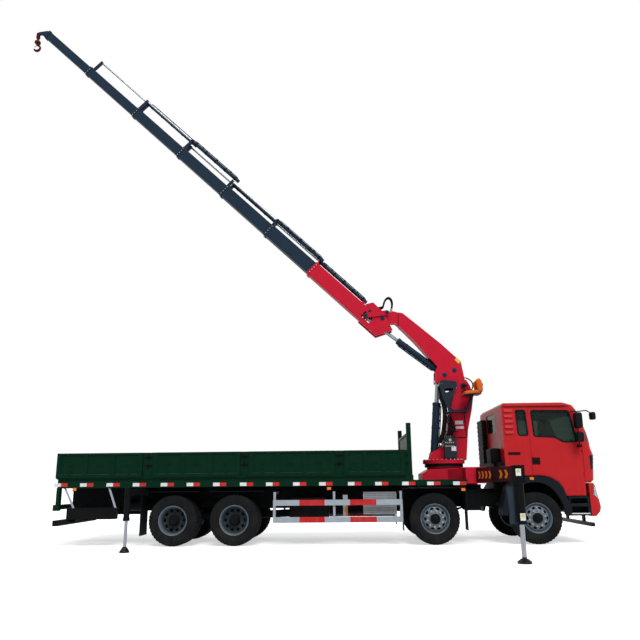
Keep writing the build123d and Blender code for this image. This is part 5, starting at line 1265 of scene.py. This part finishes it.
# Window rubbers, and pressed louvres of the cab's rear quarter: hoods that stand out at their lower edge
cabSideSet = {
    "doorWindow": ((5.758, 2.842), (6.562, 2.83), (6.6, 2.78), (6.712, 2.146), (6.418, 2.14), (6.233, 2.249),
                   (5.787, 2.272)),
    "sideWindow": ((5.413, 2.856), (5.633, 2.853), (5.662, 2.29), (5.446, 2.295)),
    "rubber": (1.15, 1.1825),
    "louvreHeights": 2.322 + 0.12 * np.arange(5),
    "louvre": ((1.1795, 0.085), (1.2, 0.05), (1.213, 0.012), (1.1795, 0.0)),
}
doorWindow = roundedOutline(cabSideSet["doorWindow"], 0.05)
sideWindow = roundedOutline(cabSideSet["sideWindow"], 0.05)
for sideName, side in sideSigns.items():
    inside, outside = (side * y for y in cabSideSet["rubber"])
    frame = framePart(doorWindow, 0.022, 0.016, 1, inside, outside)
    makePiece(f"door-rubber-{sideName}", [frame], "plastic", f"door_{sideName}")
    frame = framePart(sideWindow, 0.022, 0.012, 1, inside, outside)
    makePiece(f"side-rubber-{sideName}", [frame], "plastic", "lorry")
for sideName, side in sideSigns.items():
    hoods = [platePart((np.array(cabSideSet["louvre"]) + (0, z)) * (side, 1), 0, 5.162, 5.348)
             for z in cabSideSet["louvreHeights"]]
    makePiece(f"louvres-{sideName}", hoods, "cabRed", "lorry", bevel=0.004, smoothAngle=60.0)

# Black drip rail under the roof's edge
makePiece("drip-rails", [boxParts(bothSides((5.835, 1.1855, 2.934)), [(1.36, 0.014, 0.014)])], "plastic",
          "lorry", bevel=0.003)

# The front's surface by height, the windscreen's rubber on it, and wipers as (start, end) across
frontSet = {
    "heights": (1.325, 1.85, 1.99, 2.336, 2.85, 2.96),
    "places": (7.08, 7.13, 7.086, 7.018, 6.85, 6.778),
    "screen": ((-1.03, 2.07), (1.03, 2.07), (1.03, 2.81), (-1.03, 2.81)),
    "wipers": ((0.72, 0.02), (-0.1, -0.8)),
}


# x = the front's place at this height - 0.04 * (y / 0.98)^2, the bow of the windscreen
def frontX(y, z, above=0.0):
    return np.interp(z, frontSet["heights"], frontSet["places"]) - 0.04 * (np.abs(y) / 0.98) ** 2 + above


# A strip lying on the front along points (y, z), of even width and height
def frontStrip(line, width, thick, above=0.0):
    line = np.asarray(line, float)
    run = np.gradient(line, axis=0)
    run /= np.linalg.norm(run, axis=1, keepdims=True)
    square = np.stack([-run[:, 1], run[:, 0]], axis=1) * width / 2
    rows = np.zeros((len(line), 4, 3))
    for column, (sign, lift) in enumerate(((1, 0.0), (1, thick), (-1, thick), (-1, 0.0))):
        spots = line + sign * square
        rows[:, column, 0] = frontX(spots[:, 0], spots[:, 1], above) + lift
        rows[:, column, 1:] = spots
    return barPart(rows)


screenLine = roundedOutline(frontSet["screen"], 0.09, 7)
screenLine = np.concatenate([np.linspace(screenLine[place], screenLine[(place + 1) % len(screenLine)], 6,
                                         endpoint=False) for place in range(len(screenLine))])
strips = [frontStrip(np.concatenate([screenLine, screenLine[:2]]), 0.044, 0.006, -0.003)]
for start, end in frontSet["wipers"]:
    arm = np.stack([np.linspace(start, (start + end) / 2, 8), np.linspace(2.03, 2.22, 8)], axis=1)
    blade = np.stack([np.linspace(start - 0.03, end, 12), np.linspace(2.16, 2.27, 12)], axis=1)
    strips += [frontStrip(arm, 0.022, 0.012, 0.012), frontStrip(blade, 0.014, 0.018, -0.004)]
makePiece("screen-rubber", strips, "plastic", "lorry")

# Headlamps behind their covers: two bowls and an orange corner (x, y, z, size) in a dark housing, both sides
headlampSet = {
    "bowl": ((0.0, 0.0), (0.004, 0.03), (0.018, 0.05), (0.04, 0.062), (0.042, 0.066), (0.03, 0.068),
             (0.0, 0.05)),
    "spots": {"lampSilver": ((6.932, 0.965, 1.055, 1.0), (6.912, 1.075, 1.075, 0.82)),
              "signOrange": ((6.895, 1.095, 1.15, 0.5),)},
    "housing": ((0.832, 1.177), (1.187, 1.195), (1.187, 0.974), (1.159, 0.928), (0.981, 0.933),
                (0.852, 1.01)),
    "depths": (6.9405, 6.946, 6.965),
}
for material, places in headlampSet["spots"].items():
    bowls = [turnedPart((x, side * y, z), (1, side * 0.12, 0.05), np.array(headlampSet["bowl"]) * size, 32)
             for side in sideSigns.values() for x, y, z, size in places]
    makePiece(f"headlamps-{material}", bowls, material, "lorry", smoothAngle=50.0)
back, floor, rim = headlampSet["depths"]
housings = []
for side in sideSigns.values():
    outline = np.array(headlampSet["housing"]) * (side, 1)
    housings += [platePart(outline, 0, back, floor), framePart(outline, 0.006, 0.0, 0, floor, rim)]
makePiece("lamp-housings", housings, "plastic", "lorry")

# White edge of the lower step, and treads of raised bars
makePiece("step-edges", [boxParts(bothSides((6.62, 1.2062, 0.628)), [(0.42, 0.0024, 0.02)])], "stripeWhite",
          "lorry")
stepBars = bothSides([(x, 1.08, z) for z in (0.643, 0.828) for x in np.linspace(6.48, 6.77, 10)])
makePiece("step-bars", [boxParts(stepBars, [(0.012, 0.22, 0.006)])], "rimSteel", "lorry", bevel=0.001)
print("cab built")


cameraSet = {
    "place": (1.634, -15.911, 1.361),
    "pitch": 13.92,
    "yaw": -2.178,
    "roll": -0.555,
    "lens": 36.495,
    "sensor": 36.0,
}


def buildCamera(values):
    yaw, pitch, roll = (radians(values[key]) for key in ("yaw", "pitch", "roll"))
    right = np.array((cos(yaw), -sin(yaw), 0.0))
    ahead = np.array((sin(yaw), cos(yaw), 0.0))
    upright = np.array((0.0, 0.0, 1.0))
    forward = cos(pitch) * ahead + sin(pitch) * upright
    above = cos(pitch) * upright - sin(pitch) * ahead
    xAxis = cos(roll) * right + sin(roll) * above
    yAxis = cos(roll) * above - sin(roll) * right
    turned = np.eye(4)
    turned[:3, 0], turned[:3, 1], turned[:3, 2], turned[:3, 3] = xAxis, yAxis, -forward, values["place"]
    camera = bpy.data.objects.new("camera", bpy.data.cameras.new("camera"))
    scene.collection.objects.link(camera)
    camera.matrix_world = Matrix(turned.tolist())
    camera.data.lens = values["lens"]
    camera.data.sensor_width = values["sensor"]
    camera.data.clip_end = 400
    scene.camera = camera


stageSet = {
    "floorHalf": 150.0,
    "floorColour": (0.82, 0.82, 0.81),
    "floorGlow": 0.55,
    "worldStrength": 0.5,
    "worldTop": (0.86, 0.9, 0.96),
    "worldLow": (0.75, 0.74, 0.72),
    "sunStrength": 2.15,
    "sunAngle": 25.0,
    "sunTurn": (40.0, 0.0, 14.0),
    "fillStrength": 0.35,
    "fillTurn": (60.0, 0.0, 50.0),
}


# 1 for rays of the camera, of reflections and of glass, which all see the white background
def seenRays(tree):
    path = tree.nodes.new("ShaderNodeLightPath").outputs
    mirrored = mathNode(tree, "MAXIMUM", path["Is Glossy Ray"], path["Is Transmission Ray"])
    return mathNode(tree, "MAXIMUM", path["Is Camera Ray"], mirrored)


def buildStage(values):
    half = values["floorHalf"]
    corners = np.array(((-half, -half, 0), (half, -half, 0), (half, half, 0), (-half, half, 0)))
    data = bpy.data.meshes.new("floor")
    data.from_pydata(corners.tolist(), [], [(0, 1, 2, 3)])
    floor = bpy.data.objects.new("floor", data)
    scene.collection.objects.link(floor)
    material = bpy.data.materials.new("floor")
    material.use_nodes = True
    tree = material.node_tree
    shader = tree.nodes["Principled BSDF"]
    coords = tree.nodes.new("ShaderNodeTexCoord").outputs["Object"]
    tone = rangeNode(tree, noiseNode(tree, coords, 0.4), 0.3, 0.7, 0.97, 1.0)
    colour = mixColour(tree, tone, (0.78, 0.78, 0.77), values["floorColour"])
    tree.links.new(colour, shader.inputs["Base Color"])
    shader.inputs["Roughness"].default_value = 0.9
    glow = mathNode(tree, "MULTIPLY", seenRays(tree), values["floorGlow"])
    shader.inputs["Emission Color"].default_value = (1, 1, 1, 1)
    tree.links.new(glow, shader.inputs["Emission Strength"])
    data.materials.append(material)

    world = bpy.data.worlds.new("studio")
    scene.world = world
    world.use_nodes = True
    tree = world.node_tree
    tree.nodes.clear()
    coords = tree.nodes.new("ShaderNodeTexCoord").outputs["Generated"]
    split = tree.nodes.new("ShaderNodeSeparateXYZ")
    tree.links.new(coords, split.inputs[0])
    height = rangeNode(tree, split.outputs[2], -0.2, 0.8)
    colour = mixColour(tree, height, values["worldLow"], values["worldTop"])
    soft = tree.nodes.new("ShaderNodeBackground")
    tree.links.new(colour, soft.inputs["Color"])
    soft.inputs["Strength"].default_value = values["worldStrength"]
    white = tree.nodes.new("ShaderNodeBackground")
    white.inputs["Color"].default_value = (1, 1, 1, 1)
    mix = tree.nodes.new("ShaderNodeMixShader")
    tree.links.new(seenRays(tree), mix.inputs[0])
    tree.links.new(soft.outputs[0], mix.inputs[1])
    tree.links.new(white.outputs[0], mix.inputs[2])
    tree.links.new(mix.outputs[0], tree.nodes.new("ShaderNodeOutputWorld").inputs[0])

    for name, strength, turn in (("sun", values["sunStrength"], values["sunTurn"]),
                                 ("fill", values["fillStrength"], values["fillTurn"])):
        lamp = bpy.data.objects.new(name, bpy.data.lights.new(name, "SUN"))
        scene.collection.objects.link(lamp)
        lamp.data.energy = strength
        lamp.data.angle = radians(values["sunAngle"])
        lamp.rotation_euler = tuple(radians(value) for value in turn)


buildCamera(cameraSet)
buildStage(stageSet)
scene.view_settings.view_transform = "Standard"
print("camera, floor and light ready")
